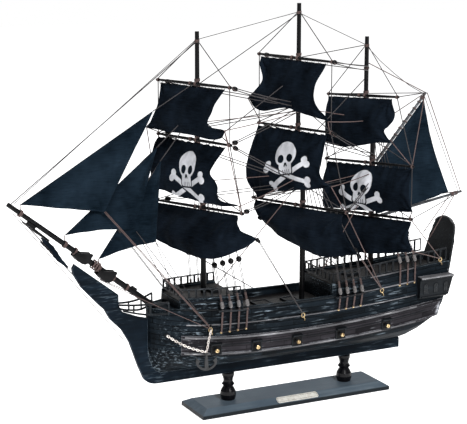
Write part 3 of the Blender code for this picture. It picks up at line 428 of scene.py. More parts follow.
HULL_SKIN = skin_of("hull", "keel_and_stem")
SIDE_SKIN = skin_of("hull", "keel_and_stem", "gun_belt_port", "gun_belt_starboard")


def side_y(x, z, side, skin=SIDE_SKIN):
    """How far out the planking is, or None past its end."""
    hit = skin.ray_cast(Vector((x, side * 0.2, z)), Vector((0, -side, 0)), 0.199)[0]
    return abs(hit.y) if hit else None


def planking(x, z, side, past_end, skin=SIDE_SKIN):
    """How far out the planking is, or past_end where the ray passes over or behind it."""
    return side_y(x, z, side, skin) or past_end


# ---------------------------------------------------------------- small forms
class Batch:
    """Many small forms gathered into one piece."""

    def __init__(self):
        self.points, self.faces, self.uvs, self.smooth = [], [], [], []

    def add(self, points, faces, uvs=None, smooth=True):
        base = len(self.points)
        self.points += [tuple(p) for p in points]
        for k, face in enumerate(faces):
            self.faces.append([base + i for i in face])
            self.uvs.append(uvs[k] if uvs else [(0.0, 0.0)] * len(face))
            self.smooth.append(smooth)

    def tube(self, path, radius, sides=6, taper=None, closed=False):
        path = [Vector(p) for p in path]
        count = len(path)
        tangents = []
        for k in range(count):
            after = path[(k + 1) % count] if closed or k < count - 1 else path[k]
            before = path[k - 1] if closed or k > 0 else path[k]
            tangents.append((after - before).normalized())
        aside = tangents[0].orthogonal().normalized()
        points, lengths, length = [], [], 0.0
        for k, (p, t) in enumerate(zip(path, tangents)):
            aside = (aside - t * aside.dot(t)).normalized()
            other = t.cross(aside)
            r = radius * (taper[k] if taper else 1.0)
            points += [p + aside * (r * cos(2 * pi * j / sides)) + other * (r * sin(2 * pi * j / sides))
                       for j in range(sides)]
            lengths.append(length)
            if k < count - 1:
                length += (path[k + 1] - p).length
        faces, uvs = [], []
        for k in range(count if closed else count - 1):
            n = (k + 1) % count
            far = lengths[n] if n else length + 0.001
            for j in range(sides):
                m = (j + 1) % sides
                faces.append((k * sides + j, k * sides + m, n * sides + m, n * sides + j))
                uvs.append([(j / sides, lengths[k]), ((j + 1) / sides, lengths[k]),
                            ((j + 1) / sides, far), (j / sides, far)])
        if not closed:
            faces += [tuple(reversed(range(sides))), tuple(range((count - 1) * sides, count * sides))]
            uvs += [[(0.0, 0.0)] * sides] * 2
        self.add(points, faces, uvs)

    def lathe(self, start, axis, profile, sides=14):
        """A turned form: profile holds (distance along the axis, radius)."""
        axis = Vector(axis).normalized()
        aside = axis.orthogonal().normalized()
        other = axis.cross(aside)
        self.loft([[start + axis * h + aside * (max(r, 1e-6) * cos(2 * pi * j / sides))
                    + other * (max(r, 1e-6) * sin(2 * pi * j / sides)) for j in range(sides)]
                   for h, r in profile])

    def ball(self, centre, radius, axis=UP, stretch=1.0, rings=8, sides=12):
        profile = [(-radius * stretch * cos(pi * k / rings), radius * sin(pi * k / rings))
                   for k in range(rings + 1)]
        self.lathe(Vector(centre), axis, profile, sides)

    def block(self, centre, ax, ay, az, half, chamfer=0.0003):
        """A box with its edges taken off, on three directions of its own."""
        axes = [Vector(v).normalized() for v in (ax, ay, az)]
        index, points = {}, []
        for sx in (-1, 1):
            for sy in (-1, 1):
                for sz in (-1, 1):
                    signs = (sx, sy, sz)
                    for flush in range(3):
                        p = Vector(centre)
                        for k in range(3):
                            p += axes[k] * signs[k] * (half[k] if k == flush else half[k] - chamfer)
                        index[signs, flush] = len(points)
                        points.append(p)
        faces = []
        for k in range(3):
            a, b = (k + 1) % 3, (k + 2) % 3
            for s in (-1, 1):
                ring = []
                for sa, sb in ((-1, -1), (1, -1), (1, 1), (-1, 1)):
                    signs = [0, 0, 0]
                    signs[k], signs[a], signs[b] = s, sa, sb
                    ring.append(index[tuple(signs), k])
                faces.append(ring if s > 0 else ring[::-1])
            for sa in (-1, 1):
                for sb in (-1, 1):
                    ends = []
                    for s in (-1, 1):
                        signs = [0, 0, 0]
                        signs[k], signs[a], signs[b] = s, sa, sb
                        ends.append(tuple(signs))
                    ring = [index[ends[0], a], index[ends[1], a], index[ends[1], b], index[ends[0], b]]
                    faces.append(ring if sa * sb > 0 else ring[::-1])
        for signs in {key[0] for key in index}:
            ring = [index[signs, 0], index[signs, 1], index[signs, 2]]
            faces.append(ring if signs[0] * signs[1] * signs[2] > 0 else ring[::-1])
        self.add(points, faces, smooth=False)

    def loft(self, rings, smooth=True):
        """Closed rings of equal count joined in order, with both ends capped."""
        sides = len(rings[0])
        points = [p for ring in rings for p in ring]
        faces = [(k * sides + j, k * sides + (j + 1) % sides, (k + 1) * sides + (j + 1) % sides,
                  (k + 1) * sides + j) for k in range(len(rings) - 1) for j in range(sides)]
        faces += [tuple(reversed(range(sides))), tuple(range((len(rings) - 1) * sides, len(rings) * sides))]
        self.add(points, faces, smooth=smooth)

    def wrap(self, centre, axis, radius, turns, pitch, thickness):
        """Turns of thread laid side by side round a bar."""
        axis = Vector(axis).normalized()
        aside = axis.orthogonal().normalized()
        other = axis.cross(aside)
        steps = int(turns * 12)
        path = []
        for k in range(steps + 1):
            angle = 2 * pi * k / 12
            path.append(Vector(centre) + axis * pitch * (k / 12 - turns / 2)
                        + aside * radius * cos(angle) + other * radius * sin(angle))
        self.tube(path, thickness, 5)

    def done(self, name, material, slot, body=SHIP):
        mesh = bpy.data.meshes.new(name)
        mesh.from_pydata(self.points, [], self.faces)
        layer = mesh.uv_layers.new(name="cloth")
        layer.data.foreach_set("uv", [c for face in self.uvs for uv in face for c in uv])
        mesh.polygons.foreach_set("use_smooth", self.smooth)
        work = bmesh.new()
        work.from_mesh(mesh)
        bmesh.ops.recalc_face_normals(work, faces=work.faces)
        work.to_mesh(mesh)
        work.free()
        thing = bpy.data.objects.new(name, mesh)
        bpy.context.scene.collection.objects.link(thing)
        mesh.materials.append(material)
        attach(thing, body)
        return thing


def sagged(a, b, sag=0.0, steps=10):
    a, b = Vector(a), Vector(b)
    return [a.lerp(b, k / steps) - UP * (4 * sag * (k / steps) * (1 - k / steps)) for k in range(steps + 1)]


# ---------------------------------------------------------------- sails
HALF_CLOTH = 0.00024
HEM_WIDTH = 0.0026
HEM_EXTRA = 0.00028


def smooth_curve(points, count):
    """Evenly spaced places on a smooth curve through the points."""
    p = [np.array(q, float) for q in points]
    p = [2 * p[0] - p[1]] + p + [2 * p[-1] - p[-2]]
    dense = []
    for k in range(1, len(p) - 2):
        for t in np.linspace(0, 1, 40, endpoint=k == len(p) - 3):
            dense.append(0.5 * (2 * p[k] + (p[k + 1] - p[k - 1]) * t
                                + (2 * p[k - 1] - 5 * p[k] + 4 * p[k + 1] - p[k + 2]) * t ** 2
                                + (3 * p[k] - p[k - 1] - 3 * p[k + 1] + p[k + 2]) * t ** 3))
    dense = np.array(dense)
    run = np.concatenate([[0], np.cumsum(np.linalg.norm(np.diff(dense, axis=0), axis=1))])
    at = np.linspace(0, run[-1], count + 1)
    return np.stack([np.interp(at, run, dense[:, k]) for k in range(dense.shape[1])], axis=1)


def patch(head, foot, left, right):
    """A surface through four joined edges."""
    u = np.linspace(0, 1, len(head))[None, :, None]
    v = np.linspace(0, 1, len(left))[:, None, None]
    ruled = head[None] * (1 - v) + foot[None] * v + left[:, None] * (1 - u) + right[:, None] * u
    return ruled - (head[0] * (1 - u) * (1 - v) + head[-1] * u * (1 - v)
                    + foot[0] * (1 - u) * v + foot[-1] * u * v)


def grid_normals(grid):
    du = np.gradient(grid, axis=1)
    dv = np.gradient(grid, axis=0)
    n = np.cross(du, dv)
    return n / np.maximum(np.linalg.norm(n, axis=2, keepdims=True), 1e-12)


def unrolled(grid):
    """The flat cut of smooth cloth given as (across, down, out of plane): lengths over the bend."""
    run = np.hypot(np.diff(grid[..., 0], axis=1), np.diff(grid[..., 2], axis=1))
    fall = np.hypot(np.diff(grid[..., 1], axis=0), np.diff(grid[..., 2], axis=0))
    x = np.concatenate([grid[:, :1, 0], grid[:, :1, 0] + np.cumsum(run, axis=1)], axis=1)
    y = np.concatenate([grid[:1, :, 1], grid[:1, :, 1] + np.cumsum(fall, axis=0)], axis=0)
    return np.stack([x, y], axis=2)


def edge_distance(grid):
    """Distance of each point from the four edges, measured along the grid."""
    across = np.linalg.norm(np.diff(grid, axis=1), axis=2)
    down = np.linalg.norm(np.diff(grid, axis=0), axis=2)
    run_u = np.concatenate([np.zeros((len(grid), 1)), np.cumsum(across, axis=1)], axis=1)
    run_v = np.concatenate([np.zeros((1, grid.shape[1])), np.cumsum(down, axis=0)], axis=0)
    return np.minimum(np.minimum(run_u, run_u[:, -1:] - run_u), np.minimum(run_v, run_v[-1:] - run_v))


def sail_piece(name, grid, flat, material, emblem=None):
    rows, columns = grid.shape[:2]
    hem = np.clip((HEM_WIDTH - edge_distance(grid)) / 0.0005, 0, 1)
    half = (HALF_CLOTH + HEM_EXTRA * hem)[..., None]
    normals = grid_normals(grid)
    front, back = grid + normals * half, grid - normals * half
    points = np.concatenate([front.reshape(-1, 3), back.reshape(-1, 3)])
    count = rows * columns
    faces, ids = [], np.arange(count).reshape(rows, columns)
    for i in range(rows - 1):
        for j in range(columns - 1):
            a, b, c, d = ids[i, j], ids[i, j + 1], ids[i + 1, j + 1], ids[i + 1, j]
            faces.append((a, b, c, d))
            faces.append((d + count, c + count, b + count, a + count))
    rim = list(ids[0, :]) + list(ids[1:, -1]) + list(ids[-1, -2::-1]) + list(ids[-2:0:-1, 0])
    for k, a in enumerate(rim):
        b = rim[(k + 1) % len(rim)]
        faces.append((b, a, a + count, b + count))
    mesh = bpy.data.meshes.new(name)
    mesh.from_pydata([tuple(p) for p in points.tolist()], [], [tuple(int(i) for i in f) for f in faces])
    spread = flat.reshape(-1, 2)
    both = np.concatenate([spread, spread])
    layer = mesh.uv_layers.new(name="cloth")
    order = np.array([loop.vertex_index for loop in mesh.loops])
    layer.data.foreach_set("uv", both[order].reshape(-1))
    if emblem is not None:
        values = np.concatenate([np.full(count, -0.01), emblem.reshape(-1)])
        mesh.attributes.new("emblem", "FLOAT", "POINT").data.foreach_set("value", values)
    mesh.polygons.foreach_set("use_smooth", [True] * len(mesh.polygons))
    work = bmesh.new()
    work.from_mesh(mesh)
    bmesh.ops.remove_doubles(work, verts=work.verts, dist=1e-6)
    bmesh.ops.recalc_face_normals(work, faces=work.faces)
    work.to_mesh(mesh)
    work.free()
    mesh.materials.append(material)
    thing = bpy.data.objects.new(name, mesh)
    bpy.context.scene.collection.objects.link(thing)
    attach(thing, SHIP)
    return thing


def ripple(p, seed, scale):
    return noise.noise(Vector((p[0] * scale + seed, p[1] * scale, seed * 0.37)))


def wrinkles(flat, corners, seed, amount=1.0):
    """Height of creases that run out of the corners, and of soft folds down the cloth."""
    out = np.zeros(flat.shape[:2])
    for i in range(flat.shape[0]):
        for j in range(flat.shape[1]):
            p = flat[i, j]
            h = 0.0018 * ripple(p, seed, 38.0) + 0.0004 * ripple(p, seed + 5.0, 110.0)
            h += 0.0034 * ripple((p[0], p[1] * 0.35), seed + 9.0, 48.0)
            for k, corner in enumerate(corners):
                d = p - corner
                r = hypot(d[0], d[1])
                angle = np.arctan2(d[1], d[0])
                fold = sin(angle * 11 + seed + k * 1.7 + 2.2 * ripple(p, seed + k, 30.0))
                h += 0.0022 * fold * (r / (r + 0.006)) * np.exp(-r / 0.026)
            out[i, j] = h * amount
    return out


# head's two ends, starboard leech, foot and port leech as (along the yard, drop, ahead),
# then the belly and how far the head hangs between its lacings
CUTS = {
    "fore_topgallant": ((-0.062, 0.059),
                        [(-0.049, 0.028, 0.010), (-0.053, 0.045, 0.018), (-0.068, 0.060, 0.020)],
                        [(-0.030, 0.062, 0.018), (0.005, 0.062, 0.018), (0.060, 0.0635, 0.014)],
                        [(0.051, 0.028, 0.010), (0.053, 0.046, 0.018), (0.080, 0.050, 0.020)], 0.006, 0.0006),
    "fore_topsail": ((-0.067, 0.060), [(-0.066, 0.030, 0.010), (-0.072, 0.066, 0.015)],
                     [(-0.020, 0.072, 0.015), (0.030, 0.074, 0.015), (0.062, 0.0745, 0.015)],
                     [(0.0520, 0.024, 0.012), (0.0480, 0.036, 0.015), (0.0610, 0.050, 0.016),
                      (0.0640, 0.062, 0.016), (0.080, 0.0670, 0.018), (0.106, 0.0690, 0.020)], 0.007, 0.0018),
    "fore_course": ((-0.078, 0.074), [(-0.080, 0.034, 0.020)],
                    [(-0.060, 0.042, 0.026), (-0.021, 0.051, 0.030), (0.0535, 0.0565, 0.030),
                     (0.100, 0.040, 0.020)],
                    [(0.090, 0.012, 0.010), (0.098, 0.019, 0.014), (0.117, 0.026, 0.008)], 0.012, 0.0006),
    "main_topgallant": ((-0.0616, 0.0565), [(-0.049, 0.035, 0.010), (-0.065, 0.057, 0.022)],
                        [(-0.043, 0.072, 0.020), (-0.005, 0.065, 0.012), (0.037, 0.070, 0.012)],
                        [(0.047, 0.044, 0.012), (0.070, 0.075, 0.010)], 0.006, 0.0008),
    "main_topsail": ((-0.067, 0.059), [(-0.070, 0.064, 0.015), (-0.058, 0.100, 0.010)],
                     [(-0.025, 0.088, 0.012), (0.008, 0.081, 0.012), (0.045, 0.075, 0.012)],
                     [(0.059, 0.021, 0.004), (0.062, 0.054, 0.012), (0.077, 0.068, 0.010)], 0.009, 0.0018),
    "main_course": ((-0.081, 0.081), [(-0.074, 0.012, 0.006), (-0.062, 0.022, 0.012)],
                    [(-0.021, 0.039, 0.020), (0.023, 0.050, 0.022), (0.066, 0.057, 0.022)],
                    [(0.102, 0.022, 0.020), (0.119, 0.048, 0.012)], 0.012, 0.0006),
    "mizzen_topgallant": ((-0.061, 0.052), [(-0.058, 0.030, 0.008), (-0.058, 0.066, 0.010)],
                          [(-0.025, 0.069, 0.013), (0.007, 0.066, 0.015), (0.040, 0.060, 0.010)],
                          [(0.066, 0.014, 0.008), (0.066, 0.030, 0.010), (0.052, 0.044, 0.010),
                           (0.060, 0.060, 0.006)], 0.006, 0.0008),
    "mizzen_topsail": ((-0.074, 0.076), [(-0.074, 0.034, 0.008), (-0.072, 0.066, 0.010)],
                       [(-0.030, 0.065, 0.012), (0.010, 0.064, 0.012), (0.050, 0.061, 0.011)],
                       [(0.082, 0.030, 0.010), (0.088, 0.058, 0.010)], 0.008, 0.0018),
    "mizzen_course": ((-0.0766, 0.078), [(-0.074, 0.030, 0.008), (-0.072, 0.050, 0.012)],
                      [(-0.030, 0.052, 0.014), (0.000, 0.052, 0.014), (0.050, 0.047, 0.013)],
                      [(0.083, 0.022, 0.008), (0.088, 0.040, 0.010)], 0.009, 0.0006),
}
LACING_GAP = 0.0118
EMBLEMS = {  # middle as (along, drop), tilt in degrees, width and height against the plain drawing
    "fore_topsail": ((0.006, 0.041), -4, 1.0, 1.06),
    "main_topsail": ((0.003, 0.043), -12, 1.12, 1.0),
    "mizzen_topsail": ((0.001, 0.037), 4, 1.12, 1.06),
}


def disc(p, centre, radii):
    """Rough distance outside an ellipse."""
    q = (p - np.array(centre)) / np.array(radii)
    return (np.linalg.norm(q, axis=-1) - 1) * min(radii)


def bar(p, a, b, radius):
    a, b = np.array(a), np.array(b)
    t = np.clip(((p - a) @ (b - a)) / max((b - a) @ (b - a), 1e-12), 0, 1)[..., None]
    return np.linalg.norm(p - (a + (b - a) * t), axis=-1) - radius


def box_shape(p, centre, half, corner):
    q = np.abs(p - np.array(centre)) - (np.array(half) - corner)
    return np.linalg.norm(np.maximum(q, 0), axis=-1) + np.minimum(q.max(axis=-1), 0) - corner


def bone(p, a, b):
    """A plain long bone with two knobs at each end."""
    a, b = np.array(a), np.array(b)
    across = np.array([-(b - a)[1], (b - a)[0]]) / np.linalg.norm(b - a) * 0.0036
    parts = [bar(p, a, b, 0.0030)]
    parts += [bar(p, end + way, end + way, 0.0043) for end in (a, b) for way in (across, -across)]
    return np.minimum.reduce(parts)


def skull_and_bones(p):
    """Positive inside the white mark: a plain round skull over two crossed bones."""
    skull = np.minimum(disc(p, (0, -0.0100), (0.0166, 0.0158)),
                       box_shape(p, (0, 0.0070), (0.0094, 0.0085), 0.0034))
    holes = [disc(p, (side * 0.0068, -0.0045), (0.0047, 0.0052)) for side in (-1, 1)]
    holes += [bar(p, (side * 0.0006, 0.0018), (side * 0.0017, 0.0052), 0.0010) for side in (-1, 1)]
    holes += [bar(p, (x, 0.0102), (x, 0.0175), 0.0005) for x in (-0.0050, -0.0017, 0.0017, 0.0050)]
    head = np.maximum.reduce([skull] + [-h for h in holes])
    one = bone(p, (-0.0290, 0.0035), (0.0270, 0.0300))
    two = bone(p, (0.0290, 0.0035), (-0.0270, 0.0300))
    gap = 0.0017
    bones = np.minimum(np.maximum(one, gap - skull), np.maximum.reduce([two, gap - skull, gap - one]))
    return -np.minimum(head, bones)


def square_sail(yard, seed):
    (head_from, head_to), starboard, foot, port, belly, hang = CUTS[yard]
    printed = yard in EMBLEMS
    columns, rows = (150, 96) if printed else (72, 44)
    top = YARD_RADIUS + 0.0009
    head = np.stack([np.linspace(head_from, head_to, columns + 1), np.zeros(columns + 1),
                     np.zeros(columns + 1)], axis=1)
    between = ((head[:, 0] - head_from) / LACING_GAP) % 1.0
    laces = np.sin(pi * between) ** 0.7 * (0.55 + 0.45 * np.sin(head[:, 0] * 190 + seed) ** 2)
    laces[0] = laces[-1] = 0
    head[:, 1] = top + hang * laces
    left = smooth_curve([head[0]] + starboard, rows)
    right = smooth_curve([head[-1]] + port, rows)
    low = smooth_curve([starboard[-1]] + foot + [port[-1]], columns)
    grid = patch(head, low, left, right)
    u = np.linspace(-1, 1, columns + 1)[None, :]
    v = np.linspace(0, 1, rows + 1)[:, None]
    flat = grid[..., :2].copy()
    grid[..., 2] += belly * np.sin(pi * v ** 0.8) * (1 - 0.6 * u ** 2)
    cut = unrolled(grid)
    corners = [np.array(end[:2]) for end in (head[0], head[-1], starboard[-1], port[-1])]
    ease = np.minimum(1, v * 8)
    grid[..., 2] += wrinkles(flat, corners, seed, 1.3) * ease
    gather = np.cos(2 * pi * (grid[..., 0] - head_from) / LACING_GAP) * 0.0004 * np.exp(-v * 14)
    grid[..., 2] += gather
    world = np.array([[tuple(yard_point(yard, *map(float, q))) for q in row] for row in grid])
    mark = None
    if printed:
        middle, tilt, wide, tall = EMBLEMS[yard]
        c, s = cos(radians(tilt)), sin(radians(tilt))
        turned = (flat - np.array(middle)) @ np.array([[c, -s], [s, c]])
        mark = skull_and_bones(turned / np.array([wide, tall]))
    thing = sail_piece(f"{yard}_cloth", world, cut, MAT["flag" if printed else "sail"], mark)
    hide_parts(f"{yard}_sail")
    return thing


for number, yard in enumerate(CUTS):
    square_sail(yard, 3.1 + number * 7.7)


def clew(yard, side):
    cut = CUTS[yard]
    return yard_point(yard, *(cut[3][-1] if side == PORT else cut[1][-1]))


JIBS = {  # tack, head and clew, and how far the foot arches up
    "outer_jib": ((-0.3690, 0.0, 0.2995), (-0.1930, 0.0, 0.4030), (-0.2660, -0.0150, 0.2840), 0.0005),
    "middle_jib": ((-0.3130, 0.0, 0.2560), (-0.1880, 0.0, 0.3570), (-0.2230, -0.0100, 0.2560), 0.0040),
    "inner_jib": ((-0.2690, 0.0, 0.2215), (-0.1830, 0.0, 0.3400), (-0.1930, -0.0040, 0.2370), 0.0030),
}


def fore_and_aft_sail(name, rows_of, seed, columns, rows, crease, along_y=-1):
    """A sail that bulges sideways: rows_of(v, u) gives a place in its plane."""
    world = np.array([[tuple(rows_of(i / rows, j / columns)) for j in range(columns + 1)]
                      for i in range(rows + 1)])
    seen = np.stack([world[..., 0], -world[..., 2], world[..., 1]], axis=2)
    cut, flat = unrolled(seen), seen[..., :2]
    corners = [flat[0, 0], flat[-1, 0], flat[-1, -1]]
    height = wrinkles(flat, corners, seed, 1.0) + crease(flat)
    u = np.linspace(0, 1, columns + 1)[None, :]
    v = np.linspace(0, 1, rows + 1)[:, None]
    world[..., 1] += along_y * height * np.minimum(1, 12 * u * (1 - u) + 0.25) * np.minimum(1, v * 6)
    thing = sail_piece(f"{name}_cloth", world, cut, MAT["jib"])
    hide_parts(name)
    return thing


def jib(name, seed, columns=56, rows=80):
    tack, head, clew_at, arch = JIBS[name]
    tack, head, clew_at = Vector(tack), Vector(head), Vector(clew_at)
    top = 0.012

    def place(v, u):
        w = top + (1 - top) * v
        luff, leech = head.lerp(tack, w), head.lerp(clew_at, w)
        p = luff.lerp(leech, u)
        belly = 0.009 * sin(pi * u) * sin(pi * min(1, w)) ** 0.8 * 1.2 + 0.002 * sin(pi * u) * w
        return p - Vector((0, belly, 0)) + UP * (4 * arch * u * (1 - u) * w ** 3)

    def crease(f):
        out = np.zeros(f.shape[:2])
        for i in range(f.shape[0]):
            for j in range(f.shape[1]):
                lean = f[i, j, 0] + 0.18 * f[i, j, 1]
                out[i, j] = 0.0014 * noise.noise(Vector((lean * 95.0, f[i, j, 1] * 12.0, seed)))
        return out

    return fore_and_aft_sail(name, place, seed, columns, rows, crease)


for number, name in enumerate(JIBS):
    jib(name, 11.3 + 4.1 * number)

THROAT, PEAK = Vector((0.1355, 0, 0.3105)), Vector((0.2085, 0, 0.3950))
TACK, OUTHAUL = Vector((0.1355, 0, 0.2420)), Vector((0.2540, 0, 0.2620))


def spanker(columns=70, rows=76):
    def place(v, u):
        p = THROAT.lerp(PEAK, u).lerp(TACK.lerp(OUTHAUL, u), v)
        hollow = 0.005 * sin(pi * v) * u ** 3
        return p + Vector((-hollow, 0.007 * sin(pi * u) * sin(pi * v), -0.002 * sin(pi * u) * v ** 4))

    def crease(f):
        centre = np.array([0.120, -0.420])
        r = np.linalg.norm(f - centre, axis=2)
        return 0.0022 * np.exp(-((r - 0.098) / 0.0035) ** 2) + 0.0012 * np.exp(-((r - 0.122) / 0.006) ** 2)

    return fore_and_aft_sail("spanker", place, 29.0, columns, rows, crease, 1)


spanker()


# ---------------------------------------------------------------- mouldings and gun ports
def sheer(z, x, rise=0.25):
    return z + rise * x * x


def moulding(batch, x_from, x_to, z_middle, rise, height, proud, steps, side):
    """A rounded strip nailed along the planking, sheered like it."""
    rings = []
    for k in range(steps + 1):
        x = lerp(x_from, x_to, k / steps)
        z = sheer(z_middle, x, rise)
        y = side_y(x, z, side)
        if y is None:
            continue
        ring = [(-0.0009, -0.5), (proud * 0.75, -0.5), (proud, -0.22), (proud, 0.22), (proud * 0.75, 0.5),
                (-0.0009, 0.5)]
        rings.append([Vector((x, side * (y + out), z + up * height)) for out, up in ring])
    if len(rings) > 1:
        batch.loft(rings)


GUNS = (-0.1276, -0.0712, -0.0114, 0.0555, 0.1285)
GUN_Z = 0.0935
MOULDINGS = (  # each strip: from, to, middle amidships, sheer, height, depth, steps
    # the pale wale strips: worn paint and painted highlights along their lit edges
    ("worn_and_highlit_mouldings", "line", (
        (-0.168, 0.178, 0.1080, 0.25, 0.0024, 0.0014, 60), (-0.168, 0.178, 0.0864, 0.25, 0.0016, 0.0009, 60),
        (-0.165, 0.178, 0.1266, 0.16, 0.0013, 0.0008, 46), (0.092, 0.178, 0.1449, 0.20, 0.0015, 0.0012, 46),
        (0.105, 0.212, 0.1617, 0.24, 0.0016, 0.0012, 46))),
    ("hull_mouldings", "trim", (
        (-0.170, 0.090, 0.1449, 0.20, 0.0018, 0.0010, 46), (-0.170, -0.090, 0.1575, 0.07, 0.0016, 0.0009, 46),
        (0.050, 0.104, 0.1617, 0.24, 0.0018, 0.0010, 46), (-0.160, 0.195, 0.0985, 0.25, 0.0012, 0.0006, 46))),
)


def side_frame(x, z, side):
    """A place on the planking, with the directions along it, up it and out of it."""
    here = side_y(x, z, side)
    ahead, behind = side_y(x - 0.004, z, side), side_y(x + 0.004, z, side)
    along = Vector((0.008, side * (behind - ahead), 0)).normalized()
    out = along.cross(UP) * (1 if along.cross(UP).y * side > 0 else -1)
    return Vector((x, side * here, z)), along, out.normalized()


for side, label in ((PORT, "port"), (STARBOARD, "starboard")):
    for name, material, strips in MOULDINGS:
        batch = Batch()
        for strip in strips:
            moulding(batch, *strip, side)
        batch.done(f"{name}_{label}", MAT[material], "trim_paint")

    ports, lids, barrels, muzzles = Batch(), Batch(), Batch(), Batch()
    for x in GUNS:
        z = sheer(GUN_Z, x, 0.17)
        place, along, out = side_frame(x, z, side)
        ports.block(place + out * 0.0003, along, out, UP, (0.0066, 0.0008, 0.0056), 0.0003)
        for a, b, wide, tall in ((-0.0069, 0, 0.0006, 0.0062), (0.0069, 0, 0.0006, 0.0062),
                                 (0, -0.0060, 0.0075, 0.0006)):
            lids.block(place + along * a + UP * b + out * 0.0006, along, out, UP,
                       (wide, 0.0011, tall), 0.0002)
        tilt = (out - UP * 0.20).normalized()
        lift = along.cross(tilt) * (1 if along.cross(tilt).z > 0 else -1)
        lids.block(place + UP * 0.0086 + out * 0.0026, along, tilt, lift, (0.0074, 0.0036, 0.0008), 0.0003)
        for a in (-0.0060, 0.0060):
            lids.block(place + UP * 0.0068 + along * a + out * 0.0016, along, tilt, lift,
                       (0.0005, 0.0022, 0.0013), 0.0002)
        aim = (out + UP * 0.02).normalized()
        barrels.lathe(place - out * 0.001, aim, [(0, 0.0024), (0.0030, 0.0023), (0.0034, 0.0027),
                                                   (0.0040, 0.0027), (0.0044, 0.0021), (0.0052, 0.0020)])
        muzzles.lathe(place + out * 0.0036, aim,
                      [(0, 0.0017), (0.0004, 0.0024), (0.0012, 0.0028), (0.0022, 0.0029), (0.0032, 0.0026),
                       (0.0038, 0.0019), (0.0038, 0.0011), (0.0020, 0.0010)], 18)
    ports.done(f"gun_port_recess_{label}", MAT["spar"], "trim_paint")
    lids.done(f"gun_port_lids_{label}", MAT["trim"], "trim_paint")
    barrels.done(f"gun_barrels_{label}", MAT["iron"], "trim_paint")
    muzzles.done(f"gun_muzzles_{label}", MAT["brass"], "brass")

# ---------------------------------------------------------------- hooks, shrouds and deadeyes
EYES = ((-0.1357, 0.1240), (-0.0030, 0.1280), (0.1210, 0.1457), (0.2165, 0.1775))
SHROUDS = {  # nails' x, their height, deadeyes' first and last x, their height, masthead
    "fore": ((-0.1205, -0.1090, -0.0975, -0.0860), 0.1185, (-0.1275, -0.0930), 0.2070, 0.345),
    "main": ((0.0525, 0.0640, 0.0755, 0.0870), 0.1275, (0.0490, 0.0800), 0.2000, 0.340),
    "mizzen": ((0.1515, 0.1640, 0.1760), 0.1485, (0.1450, 0.1670), 0.2140, 0.386),
}
